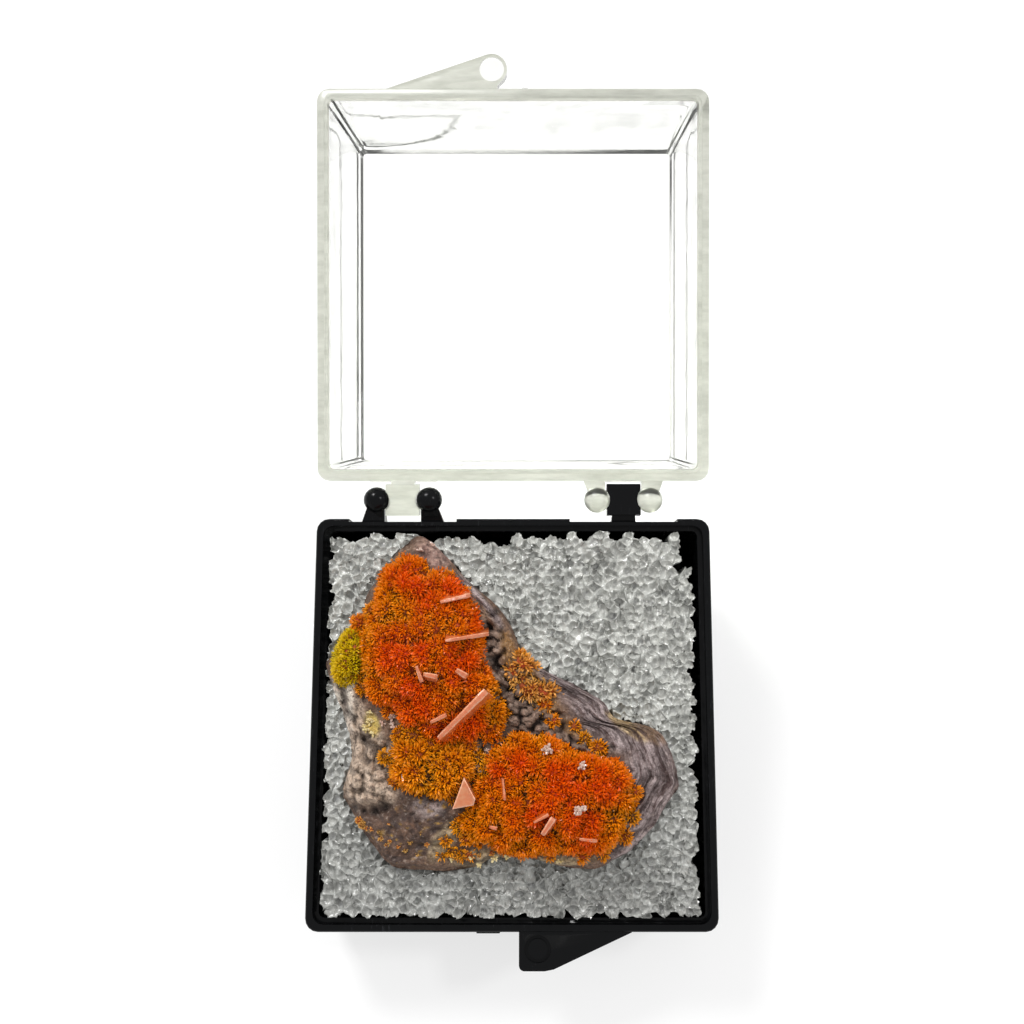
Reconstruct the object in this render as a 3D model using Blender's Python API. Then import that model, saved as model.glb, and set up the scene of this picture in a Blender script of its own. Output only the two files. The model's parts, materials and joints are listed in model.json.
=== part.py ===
"""Wulfenite and mimetite specimen on a foam pad in a hinged plastic specimen box, standing open.

Sizes are in millimetres in the box's own frame and become metres when a mesh is made.
In that frame the hinge axis is the X axis, the tray lies towards -Y with its rim facing +Z,
and the specimen is placed over the tray. The open box stands on the tray's front edge and on
the lid's hinge-side edge, so the whole frame is tilted at the end.
"""

import math

import bmesh
import bpy
from mathutils import Matrix, Vector

MM = 0.001

# Box
SIDE = 31.75
HALF = SIDE / 2
TRAY_HEIGHT = 9.5
LID_HEIGHT = 19.0
WALL = 0.95
FLOOR = 1.0
DRAFT = math.tan(math.radians(1.0))
CORNER_RADIUS = 1.0
INNER_CORNER_RADIUS = 0.45
CORNER_STEPS = 5
HINGE_GAP = 1.53
OPEN_ANGLE = math.radians(170)
SEAM = 0.10
LEDGE_WIDTH = 0.40
LEDGE_DEPTH = 0.50
LIP_WIDTH = 0.33
LIP_HEIGHT = 0.40
EDGE_BREAK = 0.10
FOOT_FILLET = 0.35
INNER_FILLET = 0.30

# Ball hinges
HINGE_X = 8.93
BALL_OFFSET = 2.13
BALL_RADIUS = 1.05
SOCKET_HALF_WIDTH = 1.36
SOCKET_REACH = 1.25
SOCKET_HALF_THICK = 0.45
SOCKET_CLEARANCE = 0.10
NECK_HALF_WIDTH = 1.00
POST_BASE_HALF_WIDTH = 0.97
POST_TIP_HALF_WIDTH = 0.66
POST_SPREAD = 0.30
POST_FOOT_DEPTH = 2.4
HINGE_PAD_PROUD = 0.12
HINGE_PAD_HALF_WIDTH = 3.4
RELIEF_DEPTH = 0.24
RELIEF_HALF_WIDTH = 4.35
RELIEF_HEIGHT = 3.5

# Thumb tabs
TAB_THICKNESS = 1.15
TAB_DROP = 0.15
TAB_REACH = 2.85
TAB_ROOT = 0.30
TRAY_TAB_X = (0.54, 9.46)
TRAY_TAB_FLAT = 2.50
TRAY_TAB_CORNER = 0.42
TRAY_RING = (1.98, 1.24)
RING_OUTER = 1.02
RING_INNER = 0.76
RING_DEPTH = 0.15
LID_TAB_X = -10.28
LID_TAB_EYE = (-1.73, 1.58)
LID_TAB_END_RADIUS = 1.24
LID_EYE_RADIUS = 1.00
LID_EYE_DEPTH = 0.25
TRAY_CATCH = (-2.90, -0.75)
LID_CATCH = (0.56, 1.36)
CATCH_PROUD = 0.16
CATCH_HEIGHT = 0.8

# Foam pad
FOAM_TOP = 0.45
FOAM_CLEARANCE = 0.15
FOAM_BACK_CLEARANCE = 0.45
FOAM_CORNER_RADIUS = 0.8
POCKET_SCALE = 0.985
POCKET_DEPTH = 3.2

# Specimen: outlines seen from above, running clockwise, and the point each one is built around
ROCK_CENTRE = (-2.5, -17.5)
ROCK_OUTLINE = [
    (-7.2, -3.2), (-5.1, -4.9), (-3.8, -6.4), (-0.7, -9.2), (0.9, -12.4), (2.5, -13.5),
    (6.7, -15.7), (8.0, -17.2), (11.4, -18.3), (12.7, -21.6), (12.4, -22.8), (9.9, -26.4),
    (8.1, -27.6), (5.7, -28.4), (1.1, -27.5), (-1.3, -27.6), (-3.5, -28.4), (-8.3, -28.4),
    (-9.9, -27.5), (-12.5, -23.9), (-13.0, -22.6), (-12.4, -19.2), (-14.3, -13.9),
    (-14.1, -12.4), (-11.7, -9.4), (-11.5, -7.7), (-8.9, -4.2),
]
ROCK_BASE = 1.0
ROCK_HILLS = [
    # x, y, height, spread
    (-6.5, -12.0, 3.0, 4.6),
    (3.0, -23.0, 2.2, 4.2),
    (8.2, -20.2, 1.3, 3.2),
    (-8.0, -23.0, 1.5, 3.6),
]
ROCK_SHOULDER = [(0.97, 0.55), (0.93, -1.0), (0.84, -2.6), (0.70, -3.0)]
DRUSE_GAP = 0.20
DRUSES = {
    # name: (centre, thickness at the middle, thickness at the edge, outline)
    "mimetite_druse_upper": ((-5.9, -12.2), 1.7, 0.5, [
        (-7.2, -4.3), (-5.5, -5.2), (-4.4, -6.4), (-2.4, -8.5), (-1.9, -10.2), (-1.4, -12.2),
        (-1.5, -15.2), (-0.8, -16.4), (-1.2, -17.9), (-3.1, -18.9), (-5.4, -18.7), (-8.0, -17.6),
        (-8.9, -15.9), (-10.4, -15.6), (-11.3, -14.2), (-11.5, -12.4), (-11.2, -10.6),
        (-10.5, -8.6), (-10.0, -6.4), (-8.6, -5.0),
    ]),
    "mimetite_druse_left": ((-12.7, -12.3), 1.3, 0.4, [
        (-12.2, -10.5), (-12.8, -10.9), (-13.5, -11.9), (-13.7, -12.9), (-13.4, -13.9),
        (-12.7, -14.3), (-12.0, -13.8), (-11.8, -12.3), (-11.8, -11.2),
    ]),
    "mimetite_druse_middle": ((-6.0, -20.7), 1.4, 0.4, [
        (-8.8, -19.2), (-7.4, -18.9), (-5.4, -19.3), (-3.6, -19.6), (-3.2, -21.0), (-4.6, -22.5),
        (-6.5, -22.3), (-8.0, -21.8), (-8.9, -20.7),
    ]),
    "mimetite_druse_lower": ((2.8, -22.6), 1.6, 0.5, [
        (-0.5, -18.8), (1.4, -18.5), (3.3, -18.9), (4.8, -19.7), (6.6, -20.2), (8.2, -20.7),
        (9.0, -22.0), (8.9, -24.1), (8.0, -25.7), (6.4, -26.8), (3.6, -26.9), (-0.1, -26.8),
        (-3.0, -25.9), (-3.9, -24.4), (-3.0, -22.9), (-2.3, -21.2), (-1.6, -20.1),
    ]),
    "mimetite_druse_right": ((1.6, -14.6), 0.8, 0.3, [
        (0.2, -12.2), (1.3, -13.0), (2.6, -14.3), (3.4, -15.6), (2.8, -16.6), (1.4, -15.9),
        (0.2, -14.5), (-0.3, -13.2),
    ]),
}
PLATE_GAP = 0.12
PLATE_STEPS = 4
PLATES = [
    # start x and y, end x and y of the exposed edge, its height over the druse at both ends,
    # how far the foot lies to the side of it, and the plate's thickness
    (-5.48, -18.50, -1.90, -14.98, 0.55, 1.00, 0.70, 0.45),
    (-4.90, -11.26, -1.78, -10.75, 0.70, 0.80, -0.50, 0.28),
    (-5.40, -8.38, -3.22, -7.80, 0.35, 0.70, -0.45, 0.30),
    (-6.50, -13.70, -5.50, -13.90, 0.60, 0.70, 0.45, 0.35),
    (-7.05, -13.10, -6.62, -14.30, 0.45, 0.55, -0.10, 0.26),
    (-4.09, -13.40, -3.30, -13.92, 0.50, 0.45, 0.30, 0.40),
    (-6.05, -17.30, -4.87, -16.72, 0.40, 0.45, -0.30, 0.25),
    (-0.61, -21.40, -0.45, -22.90, 0.30, 0.45, 0.25, 0.16),
    (-1.62, -24.88, -1.02, -25.00, 0.35, 0.30, 0.20, 0.24),
    (1.67, -24.48, 2.75, -23.86, 0.30, 0.40, -0.30, 0.20),
    (2.30, -25.35, 3.12, -24.10, 0.55, 0.45, 0.35, 0.40),
    (5.05, -25.70, 6.40, -25.92, 0.35, 0.30, 0.30, 0.22),
]
BIG_WEDGE = [(-3.52, -21.30), (-2.66, -22.86), (-2.80, -23.35), (-4.40, -23.66)]
BIG_WEDGE_HEIGHT = 0.8
CLUSTERS = [(5.07, -23.54, 0.55), (2.72, -19.30, 0.52), (5.29, -20.40, 0.42)]


def plain_material(name, colour, roughness, alpha=1.0, transmission=0.0):
    material = bpy.data.materials.new(name)
    material.use_nodes = True
    shader = material.node_tree.nodes["Principled BSDF"]
    shader.inputs["Base Color"].default_value = (*colour, 1.0)
    shader.inputs["Roughness"].default_value = roughness
    shader.inputs["Metallic"].default_value = 0.0
    shader.inputs["Alpha"].default_value = alpha
    shader.inputs["Transmission Weight"].default_value = transmission
    material.diffuse_color = (*colour, alpha)
    return material


def solid(name, points, faces, parent, material=None):
    """A named object from points in millimetres, its faces turned outwards."""
    shape = bmesh.new()
    corners = [shape.verts.new(Vector(point) * MM) for point in points]
    for face in faces:
        shape.faces.new([corners[index] for index in face])
    bmesh.ops.recalc_face_normals(shape, faces=shape.faces)
    mesh = bpy.data.meshes.new(name)
    shape.to_mesh(mesh)
    shape.free()
    mesh.set_sharp_from_angle(angle=math.radians(35))
    item = bpy.data.objects.new(name, mesh)
    item.parent = parent
    if material:
        mesh.materials.append(material)
    bpy.context.scene.collection.objects.link(item)
    return item


def cutter(item):
    """A tool of a Boolean: it is kept as a guide and is not a piece of the box."""
    item.hide_render = True
    item.display_type = "WIRE"
    return item


def combine(target, tool, operation):
    step = target.modifiers.new(tool.name, "BOOLEAN")
    step.operation = operation
    step.solver = "EXACT"
    step.object = cutter(tool)


def rounded_square(half_x, half_y, radius, height, middle_y, steps=CORNER_STEPS):
    """One ring of points around a square with round corners."""
    ring = []
    for quarter, (side_x, side_y) in enumerate([(1, 1), (-1, 1), (-1, -1), (1, -1)]):
        for step in range(steps):
            turn = math.radians(90) * (quarter + step / (steps - 1))
            x = side_x * (half_x - radius) + radius * math.cos(turn)
            y = side_y * (half_y - radius) + radius * math.sin(turn)
            ring.append((x, middle_y + y, height))
    return ring


def skin(rings):
    """Faces between rings of equal length, with the first and the last ring capped."""
    count = len(rings[0])
    faces = [tuple(range(count)), tuple(range((len(rings) - 1) * count, len(rings) * count))]
    for level in range(len(rings) - 1):
        for step in range(count):
            here, after = level * count + step, level * count + (step + 1) % count
            faces.append((here, after, after + count, here + count))
    return faces


def moulded_cup(name, levels, middle_y, parent, material):
    """An open box from rings of half width, corner radius and height, outside first."""
    rings = [rounded_square(half, half, radius, height, middle_y) for half, radius, height in levels]
    points = [point for ring in rings for point in ring]
    return solid(name, points, skin(rings), parent, material)


def outer_half(depth):
    return HALF - DRAFT * depth


def inner_half(depth):
    return HALF - WALL - DRAFT * depth


def foot_levels(height):
    """The rounded outer bottom edge and the wall above it, up to the rim's broken edge."""
    middle = outer_half(height) - FOOT_FILLET
    levels = []
    for turn in (0, 22.5, 45, 67.5):
        out = FOOT_FILLET * math.sin(math.radians(turn))
        up = FOOT_FILLET * (1 - math.cos(math.radians(turn)))
        levels.append((middle + out, CORNER_RADIUS - FOOT_FILLET + out, -height + up))
    return levels + [
        (outer_half(height - FOOT_FILLET), CORNER_RADIUS, -height + FOOT_FILLET),
        (HALF, CORNER_RADIUS, -SEAM / 2 - EDGE_BREAK),
        (HALF - EDGE_BREAK, CORNER_RADIUS - EDGE_BREAK, -SEAM / 2),
    ]


def inside_levels(height):
    """The inner wall's foot, its fillet and the inside floor."""
    depth = height - FLOOR
    half = inner_half(depth)
    return [
        (inner_half(depth - INNER_FILLET), INNER_CORNER_RADIUS, -depth + INNER_FILLET),
        (half - INNER_FILLET * 0.3, INNER_CORNER_RADIUS, -depth + INNER_FILLET * 0.3),
        (half - INNER_FILLET, INNER_CORNER_RADIUS * 0.6, -depth),
    ]


def block(name, low, high, parent):
    corners = [(x, y, z) for x in (low[0], high[0]) for y in (low[1], high[1]) for z in (low[2], high[2])]
    faces = [(0, 1, 3, 2), (4, 6, 7, 5), (0, 4, 5, 1), (2, 3, 7, 6), (0, 2, 6, 4), (1, 5, 7, 3)]
    return solid(name, corners, faces, parent)


def taper(name, foot, tip, parent):
    """A straight-sided post between two upright rectangles (x range, y, z range)."""
    corners = []
    for (x_low, x_high), y, (z_low, z_high) in (foot, tip):
        corners += [(x_low, y, z_low), (x_high, y, z_low), (x_high, y, z_high), (x_low, y, z_high)]
    return solid(name, corners, skin([corners[:4], corners[4:]]), parent)


def ball(name, centre, radius, parent, rings=10, segments=16):
    shape = bmesh.new()
    place = Matrix.Translation(Vector(centre) * MM) @ Matrix.Rotation(math.radians(90), 4, "Y")
    bmesh.ops.create_uvsphere(
        shape, u_segments=segments, v_segments=rings, radius=radius * MM, matrix=place)
    mesh = bpy.data.meshes.new(name)
    shape.to_mesh(mesh)
    shape.free()
    item = bpy.data.objects.new(name, mesh)
    item.parent = parent
    bpy.context.scene.collection.objects.link(item)
    return item


def flat_prism(name, outline, z_low, z_high, parent):
    """An outline in the XY plane given a thickness."""
    rings = [[(x, y, z) for x, y in outline] for z in (z_low, z_high)]
    return solid(name, rings[0] + rings[1], skin(rings), parent)


def arc(centre, radius, start, end, steps=8):
    turns = [math.radians(start + (end - start) * step / steps) for step in range(steps + 1)]
    return [(centre[0] + radius * math.cos(t), centre[1] + radius * math.sin(t)) for t in turns]


def ball_ears(target, middle_x, towards_wall, parent):
    """Two posts that end in balls on the hinge axis; towards_wall is -1 for the tray, 1 for the lid."""
    wall = towards_wall * (HINGE_GAP + 0.45)
    for side in (-1, 1):
        label = f"{target.name}_ear_{'left' if side < 0 else 'right'}"
        x_ball = middle_x + side * BALL_OFFSET
        x_foot = x_ball + side * POST_SPREAD
        post = taper(
            label,
            ((x_foot - POST_BASE_HALF_WIDTH, x_foot + POST_BASE_HALF_WIDTH), wall,
             (-POST_FOOT_DEPTH, -0.30)),
            ((x_ball - POST_TIP_HALF_WIDTH, x_ball + POST_TIP_HALF_WIDTH), towards_wall * 0.45,
             (-0.70, 0.35)),
            parent)
        combine(target, post, "UNION")
        combine(target, ball(label + "_ball", (x_ball, 0, 0), BALL_RADIUS, parent), "UNION")


def ball_socket(target, middle_x, towards_wall, parent):
    """A waisted plate between two balls, joined to its wall by a neck."""
    label = f"{target.name}_socket"
    plate = block(
        label,
        (middle_x - SOCKET_HALF_WIDTH, -SOCKET_REACH, -SOCKET_HALF_THICK),
        (middle_x + SOCKET_HALF_WIDTH, SOCKET_REACH, SOCKET_HALF_THICK),
        parent)
    for side in (-1, 1):
        dimple = ball(
            f"{label}_dimple_{'left' if side < 0 else 'right'}",
            (middle_x + side * BALL_OFFSET, 0, 0), BALL_RADIUS + SOCKET_CLEARANCE, parent)
        combine(plate, dimple, "DIFFERENCE")
    neck = taper(
        label + "_neck",
        ((middle_x - NECK_HALF_WIDTH, middle_x + NECK_HALF_WIDTH), towards_wall * (HINGE_GAP + 0.45),
         (-POST_FOOT_DEPTH, -0.30)),
        ((middle_x - NECK_HALF_WIDTH * 0.9, middle_x + NECK_HALF_WIDTH * 0.9), towards_wall * 0.80,
         (-SOCKET_HALF_THICK + 0.12, SOCKET_HALF_THICK - 0.15)),
        parent)
    combine(target, plate, "UNION")
    combine(target, neck, "UNION")


def catch(target, x_range, wall_y, outward, parent):
    """A low ramped bump on the outside of a rim, which the other half's tab snaps over."""
    low, high = x_range
    middle = -SEAM / 2 - 0.15 - CATCH_HEIGHT / 2
    bump = taper(
        f"{target.name}_catch",
        ((low, high), wall_y - outward * 0.3, (middle - CATCH_HEIGHT / 2, middle + CATCH_HEIGHT / 2)),
        ((low + 0.2, high - 0.2), wall_y + outward * CATCH_PROUD,
         (middle - CATCH_HEIGHT / 4, middle + CATCH_HEIGHT / 4)),
        parent)
    combine(target, bump, "UNION")


def make_tray(parent, material):
    middle_y = -(HINGE_GAP + HALF)
    front = -(HINGE_GAP + SIDE)
    rim = -SEAM / 2
    lip_inner = HALF - WALL + LEDGE_WIDTH
    levels = foot_levels(TRAY_HEIGHT) + [
        (lip_inner, INNER_CORNER_RADIUS + LEDGE_WIDTH, rim),
        (lip_inner, INNER_CORNER_RADIUS + LEDGE_WIDTH, rim - LEDGE_DEPTH),
        (inner_half(-rim + LEDGE_DEPTH), INNER_CORNER_RADIUS, rim - LEDGE_DEPTH),
    ] + inside_levels(TRAY_HEIGHT)
    tray = moulded_cup("tray", levels, middle_y, parent, material)
    for side in (-1, 1):
        relief = block(
            f"tray_relief_{'left' if side < 0 else 'right'}",
            (side * HINGE_X - RELIEF_HALF_WIDTH, -HINGE_GAP - RELIEF_DEPTH, -RELIEF_HEIGHT),
            (side * HINGE_X + RELIEF_HALF_WIDTH, -HINGE_GAP + 0.5, 0.5), parent)
        combine(tray, relief, "DIFFERENCE")
    ball_ears(tray, -HINGE_X, -1, parent)
    ball_socket(tray, HINGE_X, -1, parent)
    left, right = TRAY_TAB_X
    tip = front - TAB_REACH
    corner = (left + TRAY_TAB_CORNER, tip + TRAY_TAB_CORNER)
    outline = [(left, front + TAB_ROOT)]
    outline += arc(corner, TRAY_TAB_CORNER, 180, 270, 5)
    outline += [(TRAY_TAB_FLAT, tip), (TRAY_TAB_FLAT + 0.7, tip + 0.13), (right - 0.3, front - 0.05),
                (right, front + TAB_ROOT)]
    tab = flat_prism("tray_tab", outline, -TAB_DROP - TAB_THICKNESS, -TAB_DROP, parent)
    centre = (TRAY_RING[0], front - TRAY_RING[1])
    ring = flat_prism("tray_tab_ring", arc(centre, RING_OUTER, 0, 345, 23), -TAB_DROP - RING_DEPTH, 0.2, parent)
    core = flat_prism("tray_tab_core", arc(centre, RING_INNER, 0, 345, 23), -TAB_DROP - 0.5, 0.5, parent)
    combine(ring, core, "DIFFERENCE")
    combine(tab, ring, "DIFFERENCE")
    combine(tray, tab, "UNION")
    catch(tray, TRAY_CATCH, front, -1, parent)
    return tray


def make_lid(parent, material):
    middle_y = HINGE_GAP + HALF
    far = HINGE_GAP + SIDE
    rim = -SEAM / 2
    lip_outer = HALF - WALL + LIP_WIDTH
    levels = foot_levels(LID_HEIGHT) + [
        (lip_outer, INNER_CORNER_RADIUS + LIP_WIDTH, rim),
        (lip_outer, INNER_CORNER_RADIUS + LIP_WIDTH, rim + LIP_HEIGHT - 0.05),
        (lip_outer - 0.05, INNER_CORNER_RADIUS + LIP_WIDTH - 0.05, rim + LIP_HEIGHT),
        (HALF - WALL + 0.05, INNER_CORNER_RADIUS + 0.05, rim + LIP_HEIGHT),
        (HALF - WALL, INNER_CORNER_RADIUS, rim + LIP_HEIGHT - 0.05),
    ] + inside_levels(LID_HEIGHT)
    lid = moulded_cup("lid", levels, middle_y, parent, material)
    for side in (-1, 1):
        pad = taper(
            f"lid_pad_{'left' if side < 0 else 'right'}",
            ((side * HINGE_X - HINGE_PAD_HALF_WIDTH, side * HINGE_X + HINGE_PAD_HALF_WIDTH),
             HINGE_GAP + 0.4, (-2.4, -0.20)),
            ((side * HINGE_X - HINGE_PAD_HALF_WIDTH + 0.8, side * HINGE_X + HINGE_PAD_HALF_WIDTH - 0.8),
             HINGE_GAP - HINGE_PAD_PROUD, (-1.6, -0.35)),
            parent)
        combine(lid, pad, "UNION")
    ball_ears(lid, HINGE_X, 1, parent)
    ball_socket(lid, -HINGE_X, 1, parent)
    eye = (LID_TAB_EYE[0], far + LID_TAB_EYE[1])
    outline = [(LID_TAB_X - 0.3, far - TAB_ROOT), (LID_TAB_X, far)]
    outline += reversed(arc(eye, LID_TAB_END_RADIUS, -52, 108, 10))
    outline += [(eye[0] + 0.45, far + 0.25), (eye[0] + 0.45, far - TAB_ROOT)]
    tab = flat_prism("lid_tab", outline, -TAB_DROP - TAB_THICKNESS, -TAB_DROP, parent)
    dimple = flat_prism(
        "lid_tab_eye", arc(eye, LID_EYE_RADIUS, 0, 345, 23), -TAB_DROP - LID_EYE_DEPTH, 0.2, parent)
    combine(tab, dimple, "DIFFERENCE")
    combine(lid, tab, "UNION")
    catch(lid, LID_CATCH, far, 1, parent)
    return lid


def smooth_loop(outline, per_span):
    """A closed curve through the outline's points (Catmull-Rom)."""
    count = len(outline)
    points = []
    for index in range(count):
        p0, p1, p2, p3 = (Vector(outline[(index + shift) % count]) for shift in (-1, 0, 1, 2))
        for step in range(per_span):
            t = step / per_span
            points.append(0.5 * (2 * p1 + (p2 - p0) * t + (2 * p0 - 5 * p1 + 4 * p2 - p3) * t * t
                                 + (3 * p1 - p0 - 3 * p2 + p3) * t ** 3))
    return points


def rock_top(x, y):
    """Height of the matrix under the druses."""
    height = ROCK_BASE
    for hill_x, hill_y, rise, spread in ROCK_HILLS:
        height += rise * math.exp(-((x - hill_x) ** 2 + (y - hill_y) ** 2) / (2 * spread ** 2))
    return height


def reach_within(outline, centre, x, y):
    """0 at the centre of an outline, 1 on it, more outside."""
    point = Vector((x, y)) - Vector(centre)
    if point.length < 1e-6:
        return 0.0
    bearing = math.atan2(point.y, point.x)
    best, reach = 10.0, 1.0
    for corner in smooth_loop(outline, 6):
        arm = corner - Vector(centre)
        turn = abs((math.atan2(arm.y, arm.x) - bearing + math.pi) % (2 * math.pi) - math.pi)
        if turn < best:
            best, reach = turn, arm.length
    return point.length / reach


def druse_thickness(middle, edge, reach):
    return edge + (middle - edge) * math.sqrt(max(0.0, 1.0 - reach ** 3))


def surface_height(x, y):
    """The top of whatever lies at this place: matrix, or druse where there is one."""
    height = rock_top(x, y)
    for centre, middle, edge, outline in DRUSES.values():
        reach = reach_within(outline, centre, x, y)
        if reach <= 1.12:
            height = max(height, rock_top(x, y) + DRUSE_GAP + druse_thickness(middle, edge, min(1, reach)))
    return height


def lump(name, loop, centre, top_levels, bottom_levels, parent, material):
    """A closed lump from rings shrunk towards a centre; each level is (scale, height function)."""
    middle = Vector(centre)
    rings = []
    for scale, height in reversed(top_levels):
        ring = [middle + (corner - middle) * scale for corner in loop]
        rings.append([(p.x, p.y, height(p.x, p.y)) for p in ring])
    for scale, height in bottom_levels:
        ring = [middle + (corner - middle) * scale for corner in loop]
        rings.append([(p.x, p.y, height(p.x, p.y)) for p in ring])
    count = len(loop)
    points = [point for ring in rings for point in ring]
    faces = skin(rings)[2:]
    for first, height in ((0, top_levels[-1][1]), ((len(rings) - 1) * count, bottom_levels[-1][1])):
        hub = len(points)
        points.append((middle.x, middle.y, height(middle.x, middle.y)))
        faces += [(first + step, first + (step + 1) % count, hub) for step in range(count)]
    return solid(name, points, faces, parent, material)


def make_rock(parent, material):
    loop = smooth_loop(ROCK_OUTLINE, 2)
    top_levels = [(scale, rock_top) for scale in (0.97, 0.85, 0.70, 0.54, 0.38, 0.20)]
    top_levels.insert(0, (1.0, lambda x, y: rock_top(x, y) - 0.35))
    bottom_levels = [(scale, lambda x, y, z=z: z) for scale, z in ROCK_SHOULDER]
    return lump("matrix_rock", loop, ROCK_CENTRE, top_levels, bottom_levels, parent, material)


def make_druse(name, parent, material):
    centre, middle, edge, outline = DRUSES[name]
    loop = smooth_loop(outline, 2)

    def top_at(scale):
        return lambda x, y: rock_top(x, y) + DRUSE_GAP + druse_thickness(middle, edge, scale)

    def bottom(x, y):
        return rock_top(x, y) + DRUSE_GAP

    top_levels = [(scale, top_at(scale)) for scale in (1.0, 0.93, 0.78, 0.58, 0.34)]
    bottom_levels = [(scale, bottom) for scale in (1.0, 0.72, 0.42)]
    return lump(name, loop, centre, top_levels, bottom_levels, parent, material)


def make_plate(name, numbers, parent, material):
    """A thin tabular crystal on edge: a straight exposed edge, and a foot that follows the druse."""
    x1, y1, x2, y2, rise1, rise2, lean, thickness = numbers
    along = Vector((x2 - x1, y2 - y1)).normalized()
    across = Vector((-along.y, along.x))
    z1 = surface_height(x1, y1) + rise1
    z2 = surface_height(x2, y2) + rise2
    rings = []
    for step in range(PLATE_STEPS + 1):
        t = step / PLATE_STEPS
        edge = Vector((x1 + (x2 - x1) * t, y1 + (y2 - y1) * t))
        top = z1 + (z2 - z1) * t
        foot = edge - across * lean
        half = across * thickness / 2
        beneath = [surface_height(*(foot + half * side + along * shift))
                   for side in (-1.6, 0, 1.6) for shift in (-0.3, 0, 0.3)]
        under = [surface_height(*(edge + half * side)) for side in (-1, 1)]
        low = max(beneath + [max(under) - 0.9]) + PLATE_GAP
        top = max(top, low + 0.25)
        narrow = half * 0.7
        rings.append([
            (*(edge + half), top - 0.05), (*(edge + narrow), top), (*(edge - narrow), top),
            (*(edge - half), top - 0.05), (*(foot - half), low), (*(foot + half), low),
        ])
    points = [point for ring in rings for point in ring]
    return solid(name, points, skin(rings), parent, material)


def make_wedge(name, parent, material):
    """A thick tabular crystal lying tilted, seen on its broad face."""
    highest = max(surface_height(x, y) for x, y in BIG_WEDGE)
    low = [(x, y, surface_height(x, y) + PLATE_GAP + 0.1) for x, y in BIG_WEDGE]
    lift = (1.0, 0.95, 0.5, 0.35)
    high = [(x, y, highest + BIG_WEDGE_HEIGHT * rise) for (x, y), rise in zip(BIG_WEDGE, lift)]
    return solid(name, low + high, skin([low, high]), parent, material)


def make_cluster(name, numbers, parent, material):
    """A small rosette of pale crystals, as a squat knob."""
    x, y, radius = numbers
    height = max(surface_height(x + dx * radius, y + dy * radius)
                 for dx in (-0.8, 0, 0.8) for dy in (-0.8, 0, 0.8))
    shape = bmesh.new()
    place = Matrix.Translation(Vector((x, y, height + PLATE_GAP + radius * 0.6)) * MM)
    squat = Matrix.Diagonal((1.0, 1.0, 0.6, 1.0))
    bmesh.ops.create_icosphere(shape, subdivisions=2, radius=radius * MM, matrix=place @ squat)
    mesh = bpy.data.meshes.new(name)
    shape.to_mesh(mesh)
    shape.free()
    mesh.materials.append(material)
    item = bpy.data.objects.new(name, mesh)
    item.parent = parent
    bpy.context.scene.collection.objects.link(item)
    return item


def make_foam(parent, material):
    """The pad that fills the tray, with the hollow that the rock sits in."""
    floor = -TRAY_HEIGHT + FLOOR + FOAM_CLEARANCE
    front = -(HINGE_GAP + SIDE) + WALL + FOAM_CLEARANCE
    back = -(HINGE_GAP + WALL) - FOAM_BACK_CLEARANCE
    middle_y = (front + back) / 2
    half_y = (back - front) / 2
    narrowing = DRAFT * TRAY_HEIGHT
    levels = [
        (narrowing + 0.3, floor), (narrowing, floor + 0.3), (0.0, -0.6), (0.05, FOAM_TOP - 0.25),
        (0.35, FOAM_TOP),
    ]
    half_x = HALF - WALL - FOAM_CLEARANCE
    rings = [rounded_square(half_x - inset, half_y - inset, FOAM_CORNER_RADIUS, z, middle_y)
             for inset, z in levels]
    foam = solid("foam_pad", [p for ring in rings for p in ring], skin(rings), parent, material)
    centre = Vector(ROCK_CENTRE)
    loop = [centre + (corner - centre) * POCKET_SCALE for corner in smooth_loop(ROCK_OUTLINE, 2)]
    pocket = flat_prism("foam_pocket", [tuple(p) for p in loop], -POCKET_DEPTH, FOAM_TOP + 1.0, parent)
    combine(foam, pocket, "DIFFERENCE")
    return foam


def resting_tilt():
    """How far the open box leans so that the fillets of the tray's front foot and of the lid's
    edge beside the hinge are at one height."""
    lean = math.pi - OPEN_ANGLE
    near = HINGE_GAP + DRAFT * LID_HEIGHT + FOOT_FILLET
    depth = LID_HEIGHT - FOOT_FILLET
    lid_y = near * math.cos(lean) + depth * math.sin(lean)
    lid_z = near * math.sin(lean) - depth * math.cos(lean)
    tray_y = -(HINGE_GAP + SIDE - DRAFT * TRAY_HEIGHT - FOOT_FILLET)
    tray_z = -TRAY_HEIGHT + FOOT_FILLET
    return math.atan2(tray_z - lid_z, lid_y - tray_y)


def stand_on_floor(frame, pieces):
    """Move the frame so that the whole object's box is centred over the origin, on z = 0."""
    bpy.context.view_layer.update()
    view = bpy.context.evaluated_depsgraph_get()
    corners = []
    for piece in pieces:
        shown = piece.evaluated_get(view)
        mesh = shown.to_mesh()
        corners += [shown.matrix_world @ vertex.co for vertex in mesh.vertices]
        shown.to_mesh_clear()
    low = [min(corner[axis] for corner in corners) for axis in range(3)]
    high = [max(corner[axis] for corner in corners) for axis in range(3)]
    frame.location -= Vector(((low[0] + high[0]) / 2, (low[1] + high[1]) / 2, low[2]))


def empty(name, parent=None):
    item = bpy.data.objects.new(name, None)
    item.parent = parent
    item.empty_display_size = 0.01
    bpy.context.scene.collection.objects.link(item)
    return item


for old in list(bpy.data.objects):
    bpy.data.objects.remove(old)

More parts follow.
